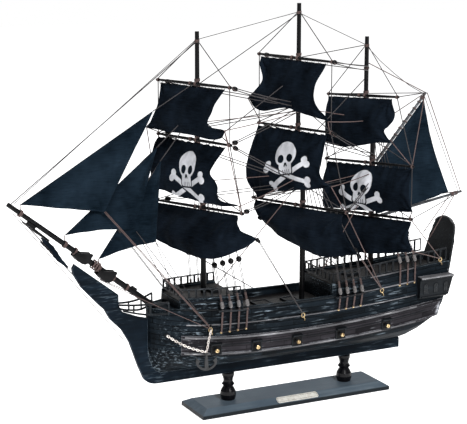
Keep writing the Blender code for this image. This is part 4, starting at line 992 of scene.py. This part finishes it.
# shrouds' foot off the planking, deadeyes' distance off the middle and radius
CHANNEL, NO_CHANNEL = (0.0068, 0.0400, 0.0038), (0.0022, 0.0310, 0.0028)
for side, label in ((PORT, "port"), (STARBOARD, "starboard")):
    eyes = Batch()
    for x, z in EYES:
        y = planking(x, z, side, 0.036)
        middle = Vector((x, side * (y + 0.0030), z))
        ring = [middle + Vector((cos(a) * 0.0024, side * 0.0004 * sin(a), sin(a) * 0.0030)) for a in
                (2 * pi * k / 16 for k in range(16))]
        eyes.tube(ring, 0.00058, 6, closed=True)
        shank = ((0.0004, 0, -0.0028), (0.0028, 0, -0.0056), (0.0026, -side * 0.0014, -0.0078),
                 (0.0046, -side * 0.0022, -0.0086))
        eyes.tube([middle + Vector(step) for step in shank], 0.00055, 6)
        eyes.tube([Vector((x + 0.0012, side * (y - 0.001), z - 0.0026)),
                   Vector((x + 0.0010, side * (y + 0.0018), z - 0.0026)),
                   Vector((x + 0.0004, side * (y + 0.0028), z - 0.0018))], 0.00045, 6)
        eyes.ball(Vector((x + 0.0024, side * (y + 0.0010), z - 0.0040)), 0.0011, (0, side, 0), 0.7)
    eyes.done(f"rigging_eyes_{label}", MAT["brass"], "brass")

    nails, plates, lashed, bands, beads, shrouds = Batch(), Batch(), Batch(), Batch(), Batch(), Batch()
    for mast, (xs, nail_z, (bead_from, bead_to), bead_z, head_z) in SHROUDS.items():
        reach, bead_y, bead_size = NO_CHANNEL if mast == "mizzen" else CHANNEL
        head = Vector((MASTS[mast][0], side * LOWER_RADIUS, head_z))
        channel_z = nail_z + 0.0290 if mast == "mizzen" else sheer(0.1463, xs[1], 0.2)
        for k, x in enumerate(xs):
            share = k / (len(xs) - 1)
            nail = Vector((x, side * (planking(x, nail_z, side, 0.045) + 0.0008), nail_z + 0.0006 * k))
            nails.ball(nail, 0.0018, (0, side, 0), 0.75)
            rim_y = planking(x, min(channel_z, 0.160), side, 0.044) + reach
            foot = Vector((x + 0.0010, side * rim_y, channel_z))
            bead = Vector((lerp(bead_from, bead_to, share), side * bead_y, bead_z + 0.0045 * share))
            plates.tube([nail + Vector((0.0006, side * 0.0008, 0)), foot], 0.00058, 6)
            plates.tube([nail - Vector((0.0006, -side * 0.0008, 0)), foot - Vector((0.0012, 0, 0))],
                        0.00050, 6)
            up = (bead - foot).normalized()
            lashed.lathe(foot + up * 0.0020, up, [(0, 0.0013), (0.0010, 0.0019), (0.0045, 0.0021),
                                                   (0.0080, 0.0019), (0.0092, 0.0012)], 12)
            lashed.wrap(foot + up * 0.0066, up, 0.0022, 6, 0.0012, 0.00040)
            bands.wrap(foot + up * 0.0160, up, 0.0012, 8, 0.0011, 0.00042)
            for shift in (-0.0011, 0.0011):
                low_end = foot + up * 0.0095 + Vector((shift * 0.6, 0, 0))
                shrouds.tube([low_end, bead + Vector((shift, 0, 0))], 0.00048, 5)
            beads.ball(bead, bead_size, up, 0.94, 10, 16)
            beads.wrap(bead, up.orthogonal(), bead_size - 0.0001, 1, 0.0002, 0.00035)
            top = head + Vector((0.0010 * (share - 0.5), 0, -0.0020 * k))
            shrouds.tube([bead, bead.lerp(top, 0.5), top], 0.00060, 6)
        ends = [Vector((xs[k], side * (planking(xs[k], nail_z, side, 0.045) + 0.0016),
                        nail_z + 0.0006 * k))
                for k in (0, len(xs) - 1)]
        shrouds.tube(ends, 0.00030, 5)
    nails.done(f"chain_plate_nails_{label}", MAT["brass"], "brass")
    plates.done(f"chain_plate_threads_{label}", MAT["tan_thread"], "cordage")
    lashed.done(f"shroud_lashings_{label}", MAT["pale_thread"], "cordage")
    bands.done(f"shroud_seizings_{label}", MAT["tan_thread"], "cordage")
    beads.done(f"deadeyes_{label}", MAT["spar"], "spar_paint")
    shrouds.done(f"shrouds_{label}", MAT["dark_thread"], "cordage")

# ---------------------------------------------------------------- running rigging
lines, tan_lines, pale_lines, blocks, bindings = Batch(), Batch(), Batch(), Batch(), Batch()
THREAD = 0.00062


def line(a, b, batch=lines, sag=0.0, radius=THREAD):
    batch.tube(sagged(a, b, sag), radius, 6)


def pulley(centre, axis, size=0.0038):
    """A small wooden block with a groove and its strop."""
    axis = Vector(axis).normalized()
    blocks.lathe(Vector(centre) - axis * size, axis,
                 [(size * along, size * out) for along, out in
                  ((0, 0.25), (0.25, 0.66), (0.8, 0.84), (1, 0.78), (1.2, 0.84), (1.75, 0.66),
                   (2, 0.25))], 12)
    side = axis.orthogonal().normalized()
    loop = [Vector(centre) + axis * size * 1.12 * cos(a) + side * size * 0.92 * sin(a) for a in
            (2 * pi * k / 16 for k in range(16))]
    bindings.tube(loop, 0.00036, 5, closed=True)


def mast_radius(mast, z):
    return TOP_RADIUS if z > MASTS[mast][2] else LOWER_RADIUS


def mast_point(mast, z, side=0, ahead=0.0):
    radius = mast_radius(mast, z)
    return Vector((mast_x(mast, z) - ahead * radius, side * radius, z))


for mast, (_, top_x, _, top) in MASTS.items():
    upper, middle, lower = f"{mast}_topgallant", f"{mast}_topsail", f"{mast}_course"
    bindings.wrap((top_x, 0, top - 0.012), UP, TOP_RADIUS * 0.86 + 0.0004, 4, 0.0009, 0.00042)
    for z in (YARDS[upper][2], YARDS[middle][2], YARDS[lower][2]):
        for lift, turns in ((0.0042, 4), (-0.0042, 3)):
            bindings.wrap((mast_x(mast, z), 0, z + lift), UP, mast_radius(mast, z) + 0.0004, turns,
                          0.0009, 0.00042)
    for yard in (upper, middle, lower):
        away = yard_point(yard, 1.0) - yard_point(yard, 0.0)
        for at in (-0.0050, 0.0050):
            bindings.wrap(yard_point(yard, at), away, YARD_RADIUS + 0.0003, 4, 0.0009, 0.00040)
        for side in (PORT, STARBOARD):
            tip = yardarm(yard, side)
            bindings.wrap(tip, away, YARD_RADIUS * 0.85 + 0.0003, 3, 0.0009, 0.00038)
        first, last = CUTS[yard][0]
        count = int((last - first) / LACING_GAP)
        for k in range(count + 1):
            at = first + k * LACING_GAP
            if abs(at) > YARDS[yard][3] - 0.004:
                continue
            loop = [yard_point(yard, at + 0.0002 * sin(a), 0.0022 - 0.0030 * cos(a), 0.0026 * sin(a))
                    for a in (2 * pi * j / 14 for j in range(14))]
            lines.tube(loop, 0.00026, 5, closed=True)
    for side in (PORT, STARBOARD):
        line(mast_point(mast, top - 0.012, side), yardarm(upper, side) + UP * 0.002)
        for above, below, lift in ((upper, middle, 0.030), (middle, lower, 0.026)):
            line(yardarm(above, side), yardarm(below, side) + UP * 0.002)
            line(clew(above, side), yardarm(below, side, 0.006) + UP * 0.002, tan_lines)
            line(mast_point(mast, YARDS[below][2] + lift, side), yardarm(below, side, 0.004) + UP * 0.002)

GAFF_FROM, GAFF_TO, GAFF_WAY = Vector((0.1345, 0, 0.3146)), Vector((0.2120, 0, 0.4040)), (0.655, 0, 0.755)
GAFF_PEAK = Vector((0.2105, 0, 0.4035))       # where lines are made fast on the gaff
BOOM_END, BOOM_WAY = Vector((0.2740, 0, 0.2620)), (1, 0, 0.168)

# braces: each yardarm is held back to the mast abaft it
BRACES = (
    ("fore_topgallant", "main", 0.398), ("fore_topsail", "main", 0.394), ("fore_topsail", "main", 0.2925),
    ("fore_course", "main", 0.294), ("main_topgallant", "mizzen", 0.442), ("main_topsail", "mizzen", 0.322),
    ("main_course", "mizzen", 0.293),
)
for yard, mast, z in BRACES:
    for side in (PORT, STARBOARD):
        start = yardarm(yard, side)
        end = mast_point(mast, z, side, -0.2)
        hang = start.lerp(end, 0.07)
        pulley(hang, end - start)
        line(start, hang)
        for shift in (-0.0011, 0.0011):
            line(hang + UP * shift, end + UP * shift * 2.5, lines, 0.0012)
        bindings.wrap((mast_x(mast, z), 0, z), UP, mast_radius(mast, z) + 0.0004, 3, 0.0009, 0.00040)
for yard, mast, z in (("fore_topgallant", "main", 0.390), ("fore_topsail", "main", 0.307),
                      ("main_topgallant", "mizzen", 0.372), ("main_topsail", "mizzen", 0.301)):
    for side in (PORT, STARBOARD):
        line(clew(yard, side), mast_point(mast, z, side, -0.2), tan_lines, 0.0012)
for side in (PORT, STARBOARD):
    line(yardarm("mizzen_topgallant", side), GAFF_PEAK)
    line(yardarm("mizzen_topsail", side), GAFF_PEAK, tan_lines)
    line(yardarm("mizzen_course", side), BOOM_END, lines, 0.001)

# sheets from the courses' clews down to the eyes in the side
for side in (PORT, STARBOARD):
    eye = [Vector((x, side * (planking(x, z, side, 0.036) + 0.0036), z + 0.0012)) for x, z in EYES]
    fore_clew, main_clew = clew("fore_course", side), clew("main_course", side)
    for shift in (-0.0008, 0.0008):
        for corner, end, batch in ((fore_clew, eye[1], lines), (main_clew, eye[2], tan_lines)):
            line(corner + Vector((shift, 0, 0)), end + Vector((shift * 0.4, 0, 0)), batch, 0.0005, 0.00042)
    line(yardarm("main_course", side), eye[2], tan_lines)
    line(yardarm("mizzen_course", side), eye[3], tan_lines)
    line(clew("mizzen_course", side), eye[3], tan_lines)
    line(clew("fore_topgallant", side), yardarm("fore_course", side), tan_lines)
    for centre in (fore_clew, main_clew):
        blocks.ball(centre - UP * 0.0015, 0.0026, UP, 1.1)
        blocks.ball(centre + Vector((0.0022, 0, -0.0035)), 0.0021, UP, 1.1)
    for name, radius in (("outer_jib", 0.00050), ("middle_jib", 0.00050), ("inner_jib", 0.00042)):
        corner = Vector(JIBS[name][2])
        end = eye[0] + Vector((0.0004, 0, 0))
        batch = tan_lines if side == PORT and name == "outer_jib" else lines
        line(corner, end, batch, 0.0004, radius)
        if name == "outer_jib":
            line(corner + Vector((0.0016, 0, 0.0004)), end + Vector((0.0008, 0, 0.0008)), batch, 0.0004,
                 radius)
    blocks.ball(eye[0] + UP * 0.004, 0.0016, UP, 1.2)

# stays, halyards and the bowsprit's own lines
for name, z in (("outer_jib", 0.4360), ("middle_jib", 0.4040), ("inner_jib", 0.3990)):
    tack, head, corner, _ = JIBS[name]
    line(head, (mast_x("fore", z) - 0.0028, 0, z), lines)
    line(head, tack, lines, 0.0, 0.00042)
    line(tack, (tack[0], 0, bowsprit_z(tack[0]) + 0.003), tan_lines)
    bindings.wrap((tack[0], 0, bowsprit_z(tack[0])), (1, 0, -0.79), 0.0042, 4, 0.0010, 0.00045)
line((-0.3810, 0, 0.3010), (-0.1300, 0, 0.4890), lines)
line((-0.3780, 0, 0.2890), (-0.2325, 0, 0.1062), pale_lines, 0.0, 0.00048)
line((-0.3690, 0, 0.2820), (-0.2300, 0, 0.1190), lines)
line((-0.128, 0, 0.4347), mast_point("main", 0.5180, 0), lines)
line((0.0135, 0, 0.4606), mast_point("mizzen", 0.4730, 0), lines)
line(mast_point("fore", 0.350, 0), mast_point("main", 0.440, 0), lines)
line(mast_point("main", 0.345, 0), mast_point("mizzen", 0.430, 0), lines)
line(mast_point("main", 0.300, 0), (-0.1100, 0, 0.1640), tan_lines)
line(mast_point("mizzen", 0.290, 0), (0.0480, 0, 0.1650), tan_lines)
bindings.wrap((0.2600, 0, 0.2586), BOOM_WAY, 0.0026, 5, 0.0010, 0.00045)
bindings.wrap((0.2660, 0, 0.2596), BOOM_WAY, 0.0026, 4, 0.0010, 0.00045)
bindings.wrap((0.2060, 0, 0.3971), GAFF_WAY, 0.0025, 5, 0.0010, 0.00045)
for k in range(9):
    t = 0.10 + 0.095 * k
    bindings.wrap(GAFF_FROM.lerp(GAFF_TO, t), GAFF_WAY, 0.0026, 2, 0.0009, 0.00038)
for a, b in (((0.2740, 0, 0.2615), (0.2140, 0, 0.4035)), ((0.2650, 0, 0.2590), (0.2240, 0, 0.1990)),
             ((0.2560, 0, 0.2580), (0.2200, 0.0100, 0.2050))):
    line(a, b, tan_lines)
line(mast_point("mizzen", 0.4500, 0), (0.2110, 0, 0.4040), tan_lines)
lines.done("running_rigging_dark", MAT["dark_thread"], "cordage")
tan_lines.done("running_rigging_tan", MAT["tan_thread"], "cordage")
pale_lines.done("bobstay", MAT["pale_thread"], "cordage")
blocks.done("rigging_blocks", MAT["spar"], "spar_paint")
bindings.done("rope_bindings", MAT["tan_thread"], "cordage")

# ---------------------------------------------------------------- bowsprit's fittings
STEEVE = Vector((0.7848, 0, -0.6198))
ABOVE = Vector((0.6198, 0, 0.7848))
head_gear, furled, gear_lines = Batch(), Batch(), Batch()
CLEAT = ((-1, 0.55, 0.20), (-0.3, 0.75, 0.60), (0.4, 0.80, 1.15), (0.8, 0.60, 1.45), (1, 0.20, 1.40))
for x, z, long, tall in ((-0.2930, 0.2265, 0.0105, 0.0078), (-0.2620, 0.2000, 0.0110, 0.0082)):
    centre = Vector((x, 0, z))
    for side in (PORT, STARBOARD):
        rings = []
        for share, low, high in CLEAT:
            middle = centre + STEEVE * long * share + Vector((0, side * 0.0054, 0))
            rings.append([middle + Vector((0, side * w, 0)) + ABOVE * (h * tall)
                          for w, h in ((-0.0012, -low), (0.0012, -low), (0.0018, (high - low) / 2),
                                       (0.0012, high), (-0.0012, high))])
        head_gear.loft(rings, smooth=False)
for x, lift, half in ((-0.2220, 0.0052, (0.0040, 0.0022, 0.0020)),
                      (-0.3560, -0.0060, (0.0060, 0.0030, 0.0022))):
    head_gear.block((x, 0, bowsprit_z(x) + lift), STEEVE, Y, ABOVE, half)
head_gear.lathe(Vector((-0.3515, -0.0520, 0.2640)), (0.02, 1, 0.02),
                [(0, 0.0012), (0.026, 0.0017), (0.052, 0.0021), (0.078, 0.0017), (0.104, 0.0012)], 12)
for shift, low, long in ((0.0, 0.0, 1.0), (0.0040, 0.0055, 0.88), (-0.0036, 0.0020, 0.80)):
    start, end = Vector((-0.3430, shift, 0.2560 - low)), Vector((-0.3095, shift * 0.4, 0.2150))
    bend = [start, start.lerp(end, 0.35) + ABOVE * 0.0012, start.lerp(end, 0.7) - ABOVE * 0.0010,
            start.lerp(end, long)]
    strip = smooth_curve([tuple(p) for p in bend], 30)
    taper = [max(0.12, sin(pi * min(1.0, 0.10 + 0.82 * k / 30)) ** 0.8)
             * (1 + 0.10 * sin(k * 1.3 + shift * 700)) for k in range(31)]
    furled.tube(strip, 0.0030, 12, taper)
for xs, wrap in (((-0.2765, -0.2735, -0.2705), (0.0058, 2, 0.0012, 0.00055)),
                 ((-0.3000, -0.2500, -0.2320), (0.0046, 3, 0.0010, 0.00045))):
    for x in xs:
        gear_lines.wrap((x, 0, bowsprit_z(x)), STEEVE, *wrap)
for side in (PORT, STARBOARD):
    gear_lines.tube(sagged((-0.2700, side * 0.006, 0.1960), (-0.1360, side * 0.0475, 0.1255), 0.001),
                    0.00045, 6)
head_gear.done("bowsprit_cleats_and_yard", MAT["spar"], "spar_paint")
furled.done("furled_spritsail", MAT["sail"], "sail_cloth")
gear_lines.done("bowsprit_lashings", MAT["tan_thread"], "cordage")

# ---------------------------------------------------------------- anchors' chains
HAWSE, HOOK = (-0.1880, 0.1180, 0.0025), (-0.1357, 0.1240, 0.0045)  # x, z and distance off
RING = (-0.1420, 0.0945)        # x and z
LINK_PITCH = 0.0029
LINK_HALF, LINK_BEND = 0.00095, 0.00115      # a link's straight, each way, and its round end


def wale_y(x, side):
    return planking(x, sheer(0.1080, x), side, 0.045)


for side, label in ((PORT, "port"), (STARBOARD, "starboard")):
    hawse, hook = (Vector((x, side * (planking(x, z, side, 0.03, HULL_SKIN) + off), z))
                   for x, z, off in (HAWSE, HOOK))
    ring = Vector((RING[0], side * (wale_y(RING[0], side) + 0.0020), RING[1]))
    end = ring + UP * 0.0014
    route = [hawse]
    for k in range(1, 8):
        share = k / 8
        x = lerp(hawse.x, end.x, share)
        z = lerp(hawse.z, end.z, share) - 0.0140 * share * (1 - share)
        route.append(Vector((x, side * (wale_y(x, side) + 0.0016), z)))
    route += [end, end.lerp(hook, 0.5), hook]
    links = Batch()
    length = sum((b - a).length for a, b in zip(route, route[1:]))
    count = int(length / LINK_PITCH)
    places = smooth_curve([tuple(p) for p in route], count)
    for k in range(count):
        a, b = Vector(places[k]), Vector(places[k + 1])
        along = (b - a).normalized()
        out = Vector((0, side, 0))
        wide = along.cross(out).normalized()
        if k % 2:
            wide = along.cross(wide).normalized()
        middle = (a + b) / 2
        loop = []
        for j in range(14):
            angle = 2 * pi * j / 14
            stretch = LINK_HALF if cos(angle) > 0 else -LINK_HALF
            loop.append(middle + along * (LINK_BEND * cos(angle) + stretch) + wide * LINK_BEND * sin(angle))
        links.tube(loop, 0.00045, 6, closed=True)
    for place in (hawse, hook):
        links.ball(place, 0.0011, (0, side, 0), 0.8)
    shackle = [ring + Vector((0.0016 * cos(a), 0, 0.0004 + 0.0016 * sin(a))) for a in
               (2 * pi * j / 16 for j in range(16))]
    links.tube(shackle, 0.00034, 6, closed=True)
    chain = links.done(f"chain_links_{label}", MAT["silver"], "steel", f"{label}_ground_tackle")
    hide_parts(f"anchor_chain_{label}")
    lips = Batch()
    lips.lathe(hawse - Vector((0, side * 0.0032, 0)), (-0.35, side, 0),
               [(0, 0.0026), (0.0016, 0.0026), (0.0022, 0.0019)], 16)
    lips.done(f"hawse_lip_{label}", MAT["trim"], "trim_paint")

# ---------------------------------------------------------------- nameplate, galleries and stern
low, high = (Vector(v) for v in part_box("nameplate"))
middle = (low + high) / 2
SLOPE = radians(28.9)           # of the board's bevel
face_out = Vector((0, -sin(SLOPE), cos(SLOPE)))
face_up = Vector((0, cos(SLOPE), sin(SLOPE)))
border, pins = Batch(), Batch()
half_long, half_tall = (high.x - low.x) / 2, 0.00425
top_face = middle + face_out * 0.00034
for a, b, wide, tall in ((0, 1, half_long - 0.0010, 0.00016), (0, -1, half_long - 0.0010, 0.00016),
                         (1, 0, 0.00016, half_tall - 0.0009), (-1, 0, 0.00016, half_tall - 0.0009)):
    centre = top_face + X * a * (half_long - 0.0010) + face_up * b * (half_tall - 0.0009)
    border.block(centre, X, face_up, face_out, (wide, tall, 0.00008), 0.00003)
for a in (-1, 1):
    pins.ball(top_face + Vector((a * (half_long - 0.0025), 0, 0)), 0.0007, face_out, 0.6)
border.done("nameplate_engraved_border", MAT["iron"], "trim_paint")
pins.done("nameplate_pins", MAT["steel"], "steel")

LIFT = 0.0004             # a window frame's middle off the wall


def outward(hit, axis, way):
    """A ray's hit and the wall's normal, turned to the way the ray came from."""
    at, out = hit[0], hit[1]
    return (at, out if out[axis] * way > 0 else -out) if at else (None, None)


def window(frames, panes, at, out, along, wide, rise, arch, foot, bars, steps):
    """An arched window with a cross: half width, springing, arch, foot, and the bars' ends."""
    upward = out.cross(along)
    upward = upward if upward.z > 0 else -upward
    middle = at + out * LIFT
    loop = []
    for j in range(steps + 1):
        angle = pi * j / steps
        loop.append(middle + along * wide * cos(angle) + upward * (rise + arch * sin(angle)))
    loop += [middle + along * wide * way - upward * foot for way in (-1, 1)]
    frames.tube(loop, 0.00045, 6, closed=True)
    top, low, across = bars
    frames.tube([middle + upward * top, middle - upward * low], 0.00030, 5)
    frames.tube([middle + along * across, middle - along * across], 0.00030, 5)
    inner = [at - out * 0.0002 + (p - middle) * 0.94 for p in loop]
    panes.loft([inner, [p + out * 0.0004 for p in inner]], smooth=False)


def strip(batch, rings, smooth=True):
    if len(rings) > 1:
        batch.loft(rings, smooth=smooth)


for side, label in ((PORT, "port"), (STARBOARD, "starboard")):
    low, high = (Vector(v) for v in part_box(f"quarter_gallery_{label}"))
    frames, panes, cap = Batch(), Batch(), Batch()
    skin = skin_of(f"quarter_gallery_{label}")

    def wall(x, z):
        return skin.ray_cast(Vector((x, side * 0.2, z)), Vector((0, -side, 0)), 0.2)

    for k in range(3):
        at, out = outward(wall(lerp(low.x + 0.0095, high.x - 0.0125, k / 2),
                               lerp(low.z + 0.016, high.z - 0.016, 0.45)), 1, side)
        if at is not None:
            window(frames, panes, at, out, (X - out * out.x).normalized(), 0.0036, 0.0030, 0.0036, 0.0075,
                   (0.0064, 0.0073, 0.0035), 12)
    for z in (high.z - 0.0035, low.z + 0.0040):
        rings = []
        for k in range(13):
            x = lerp(low.x + 0.0015, high.x - 0.0015, k / 12)
            hit = wall(x, z)[0]
            if hit is not None:
                rings.append([Vector((x, hit.y + side * out, z + up)) for out, up in
                              ((-0.0008, -0.0008), (0.0006, -0.0008), (0.0010, 0), (0.0006, 0.0008),
                               (-0.0008, 0.0008))])
        strip(frames, rings)
    frames.done(f"gallery_window_frames_{label}", MAT["trim"], "trim_paint")
    # a pale strip along the gallery's top in the pale moulding paint: a painted highlight where light falls
    # on the top face
    rings = []
    for k in range(13):
        x = lerp(low.x + 0.0012, high.x - 0.0012, k / 12)
        hit = wall(x, high.z - 0.0012)[0]
        if hit is None:
            continue
        top = skin.ray_cast(Vector((x, hit.y - side * 0.002, 0.4)), -UP, 0.4)[0]
        z = top.z if top else high.z
        back = side * planking(x, 0.15, side, 0.03)
        rings.append([Vector((x, y, height)) for y, height in
                      ((hit.y + side * 0.0007, z - 0.0016), (hit.y + side * 0.0010, z - 0.0004),
                       (hit.y + side * 0.0002, z + 0.0004), (back, z + 0.0004), (back, z - 0.0006))])
    strip(cap, rings, False)
    cap.done(f"gallery_cap_painted_highlight_{label}", MAT["line"], "trim_paint")
    panes.done(f"gallery_window_panes_{label}", MAT["pane"], "trim_paint")

STERN = skin_of("transom", "hull")
frames, panes = Batch(), Batch()


def stern_hit(y, z):
    return outward(STERN.ray_cast(Vector((0.5, y, z)), -X, 0.6), 0, 1)


for z, ys in ((0.146, (-0.0210, -0.0105, 0.0, 0.0105, 0.0210)), (0.176, (-0.0160, -0.0053, 0.0053, 0.0160))):
    for y in ys:
        at, out = stern_hit(y, z)
        if at is not None:
            window(frames, panes, at, out, Y, 0.0033, 0.0030, 0.0030, 0.0060, (0.0058, 0.0058, 0.0032), 10)
for z in (0.133, 0.160, 0.190):
    rings = []
    for k in range(25):
        at, out = stern_hit(lerp(-0.034, 0.034, k / 24), z)
        if at is not None:
            rings.append([at + out * a + UP * b for a, b in
                          ((-0.0006, -0.0010), (0.0007, -0.0010), (0.0012, 0), (0.0007, 0.0010),
                           (-0.0006, 0.0010))])
    strip(frames, rings)
frames.done("stern_window_frames", MAT["line"], "trim_paint")
panes.done("stern_window_panes", MAT["pane"], "trim_paint")

# ---------------------------------------------------------------- deck fittings
GRATING_PITCH = 0.0012
HATCHES = (  # x, the deck's top, half length and half width
    (-0.040, 0.1357, 0.011, 0.010), (0.002, 0.1357, 0.009, 0.009), (0.095, 0.1617, 0.010, 0.009),
    (-0.110, 0.1617, 0.007, 0.008),
)
fittings, gratings = Batch(), Batch()
for x, z, long, wide in HATCHES:
    for side in (-1, 1):
        fittings.block((x, side * wide, z + 0.0016), X, Y, UP, (long, 0.0008, 0.0016), 0.0002)
        fittings.block((x + side * long, 0, z + 0.0016), X, Y, UP, (0.0008, wide, 0.0016), 0.0002)
    bars = int(long / GRATING_PITCH)
    for k in range(-bars + 1, bars):
        gratings.block((x + k * long / bars, 0, z + 0.0012), X, Y, UP, (0.0004, wide, 0.0005), 0.0001)
    bars = int(wide / GRATING_PITCH)
    for k in range(-bars + 1, bars):
        gratings.block((x, k * wide / bars, z + 0.0016), X, Y, UP, (long, 0.0004, 0.0005), 0.0001)
fittings.done("hatch_coamings", MAT["trim"], "trim_paint")
gratings.done("hatch_gratings", MAT["spar"], "trim_paint")

# ---------------------------------------------------------------- stern rim and inner strakes
TRANSOM = skin_of("transom")
rim, inner = Batch(), Batch()
arch_middle = Vector((0.5, 0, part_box("transom")[1][2] - 0.0190))
edge = []
for k in range(41):
    angle = lerp(-0.02, pi + 0.02, k / 40)
    for step in range(60, 4, -1):
        out = 0.0320 * step / 60
        spot = arch_middle + Vector((0, out * cos(angle), out * sin(angle)))
        hit = TRANSOM.ray_cast(spot, -X, 0.6)[0]
        if hit is not None:
            edge.append(hit)
            break
edge = [Vector(p) for p in smooth_curve([tuple(p) for p in edge[::3]], 48)]
# the tube round the arch's edge is in the pale moulding paint: a painted highlight on the lit rim
rim.tube([p - X * 0.0008 for p in edge], 0.0011, 8)
rim.done("transom_rim_painted_highlight", MAT["line"], "trim_paint")
for side in (PORT, STARBOARD):
    y = planking(-0.006, 0.137, side, 0.047, HULL_SKIN) - 0.0034
    inner.block((-0.0065, side * y, 0.1395), X, Y, UP, (0.0225, 0.0005, 0.0009), 0.0002)
    for x in (-0.0300, 0.0170):
        inner.block((x, side * (y + 0.0002), 0.1388), X, Y, UP, (0.0010, 0.0006, 0.0034), 0.0002)
inner.done("bulwark_inner_strakes", MAT["line"], "trim_paint")


# ---------------------------------------------------------------- floor, world and lights
FLOOR_HALF, FLOOR_Z = 6, -0.0006
FLOOR_GLOW = 0.80
WORLD_LIGHT = 0.26              # the world is 1 to the camera, which keeps the background white
LAMPS = (  # name, place, size, power
    ("key", (0.05, -1.9, 1.5), 0.4, 60.0),
    ("fill", (-1.5, -1.0, 1.2), 1.2, 2.0),
    ("rim", (0.6, 1.8, 1.6), 1.2, 14.0),
    ("top", (0.0, 0.1, 2.2), 1.4, 22.0),
)
LAMPS_AIM = Vector((-0.03, 0, 0.22))


def build_stage():
    scene = bpy.context.scene
    scene.view_settings.view_transform = "Standard"
    world = bpy.data.worlds.new("studio")
    scene.world = world
    world.use_nodes = True
    nodes, links = world.node_tree.nodes, world.node_tree.links
    back = nodes["Background"]
    back.inputs["Color"].default_value = (1.0, 1.0, 1.0, 1.0)
    seen = nodes.new("ShaderNodeLightPath").outputs["Is Camera Ray"]
    strength = nodes.new("ShaderNodeMapRange")
    strength.inputs["To Min"].default_value = WORLD_LIGHT
    strength.inputs["To Max"].default_value = 1.0
    links.new(seen, strength.inputs["Value"])
    links.new(strength.outputs[0], back.inputs["Strength"])
    mesh = bpy.data.meshes.new("floor")
    corners = [(x * FLOOR_HALF, y * FLOOR_HALF, FLOOR_Z) for x, y in ((-1, -1), (1, -1), (1, 1), (-1, 1))]
    mesh.from_pydata(corners, [], [(0, 1, 2, 3)])
    ground = bpy.data.objects.new("floor", mesh)
    scene.collection.objects.link(ground)
    s = Shader("floor_white")
    s.surface(Base_Color=s.mix(s.noise(3.0, 2.0), (0.93, 0.93, 0.93), (0.96, 0.96, 0.96)))
    s.bsdf.inputs["Roughness"].default_value = 0.9
    s.bsdf.inputs["Emission Color"].default_value = (1.0, 1.0, 1.0, 1.0)
    s.bsdf.inputs["Emission Strength"].default_value = FLOOR_GLOW
    s.bsdf.inputs["Specular IOR Level"].default_value = 0.1
    mesh.materials.append(s.material)
    for name, place, size, power in LAMPS:
        light = bpy.data.lights.new(name, "AREA")
        light.shape = "SQUARE"
        light.size = size
        light.energy = power
        lamp = bpy.data.objects.new(name, light)
        scene.collection.objects.link(lamp)
        lamp.location = place
        lamp.rotation_euler = (Vector(place) - LAMPS_AIM).to_track_quat("Z", "Y").to_euler()


build_stage()
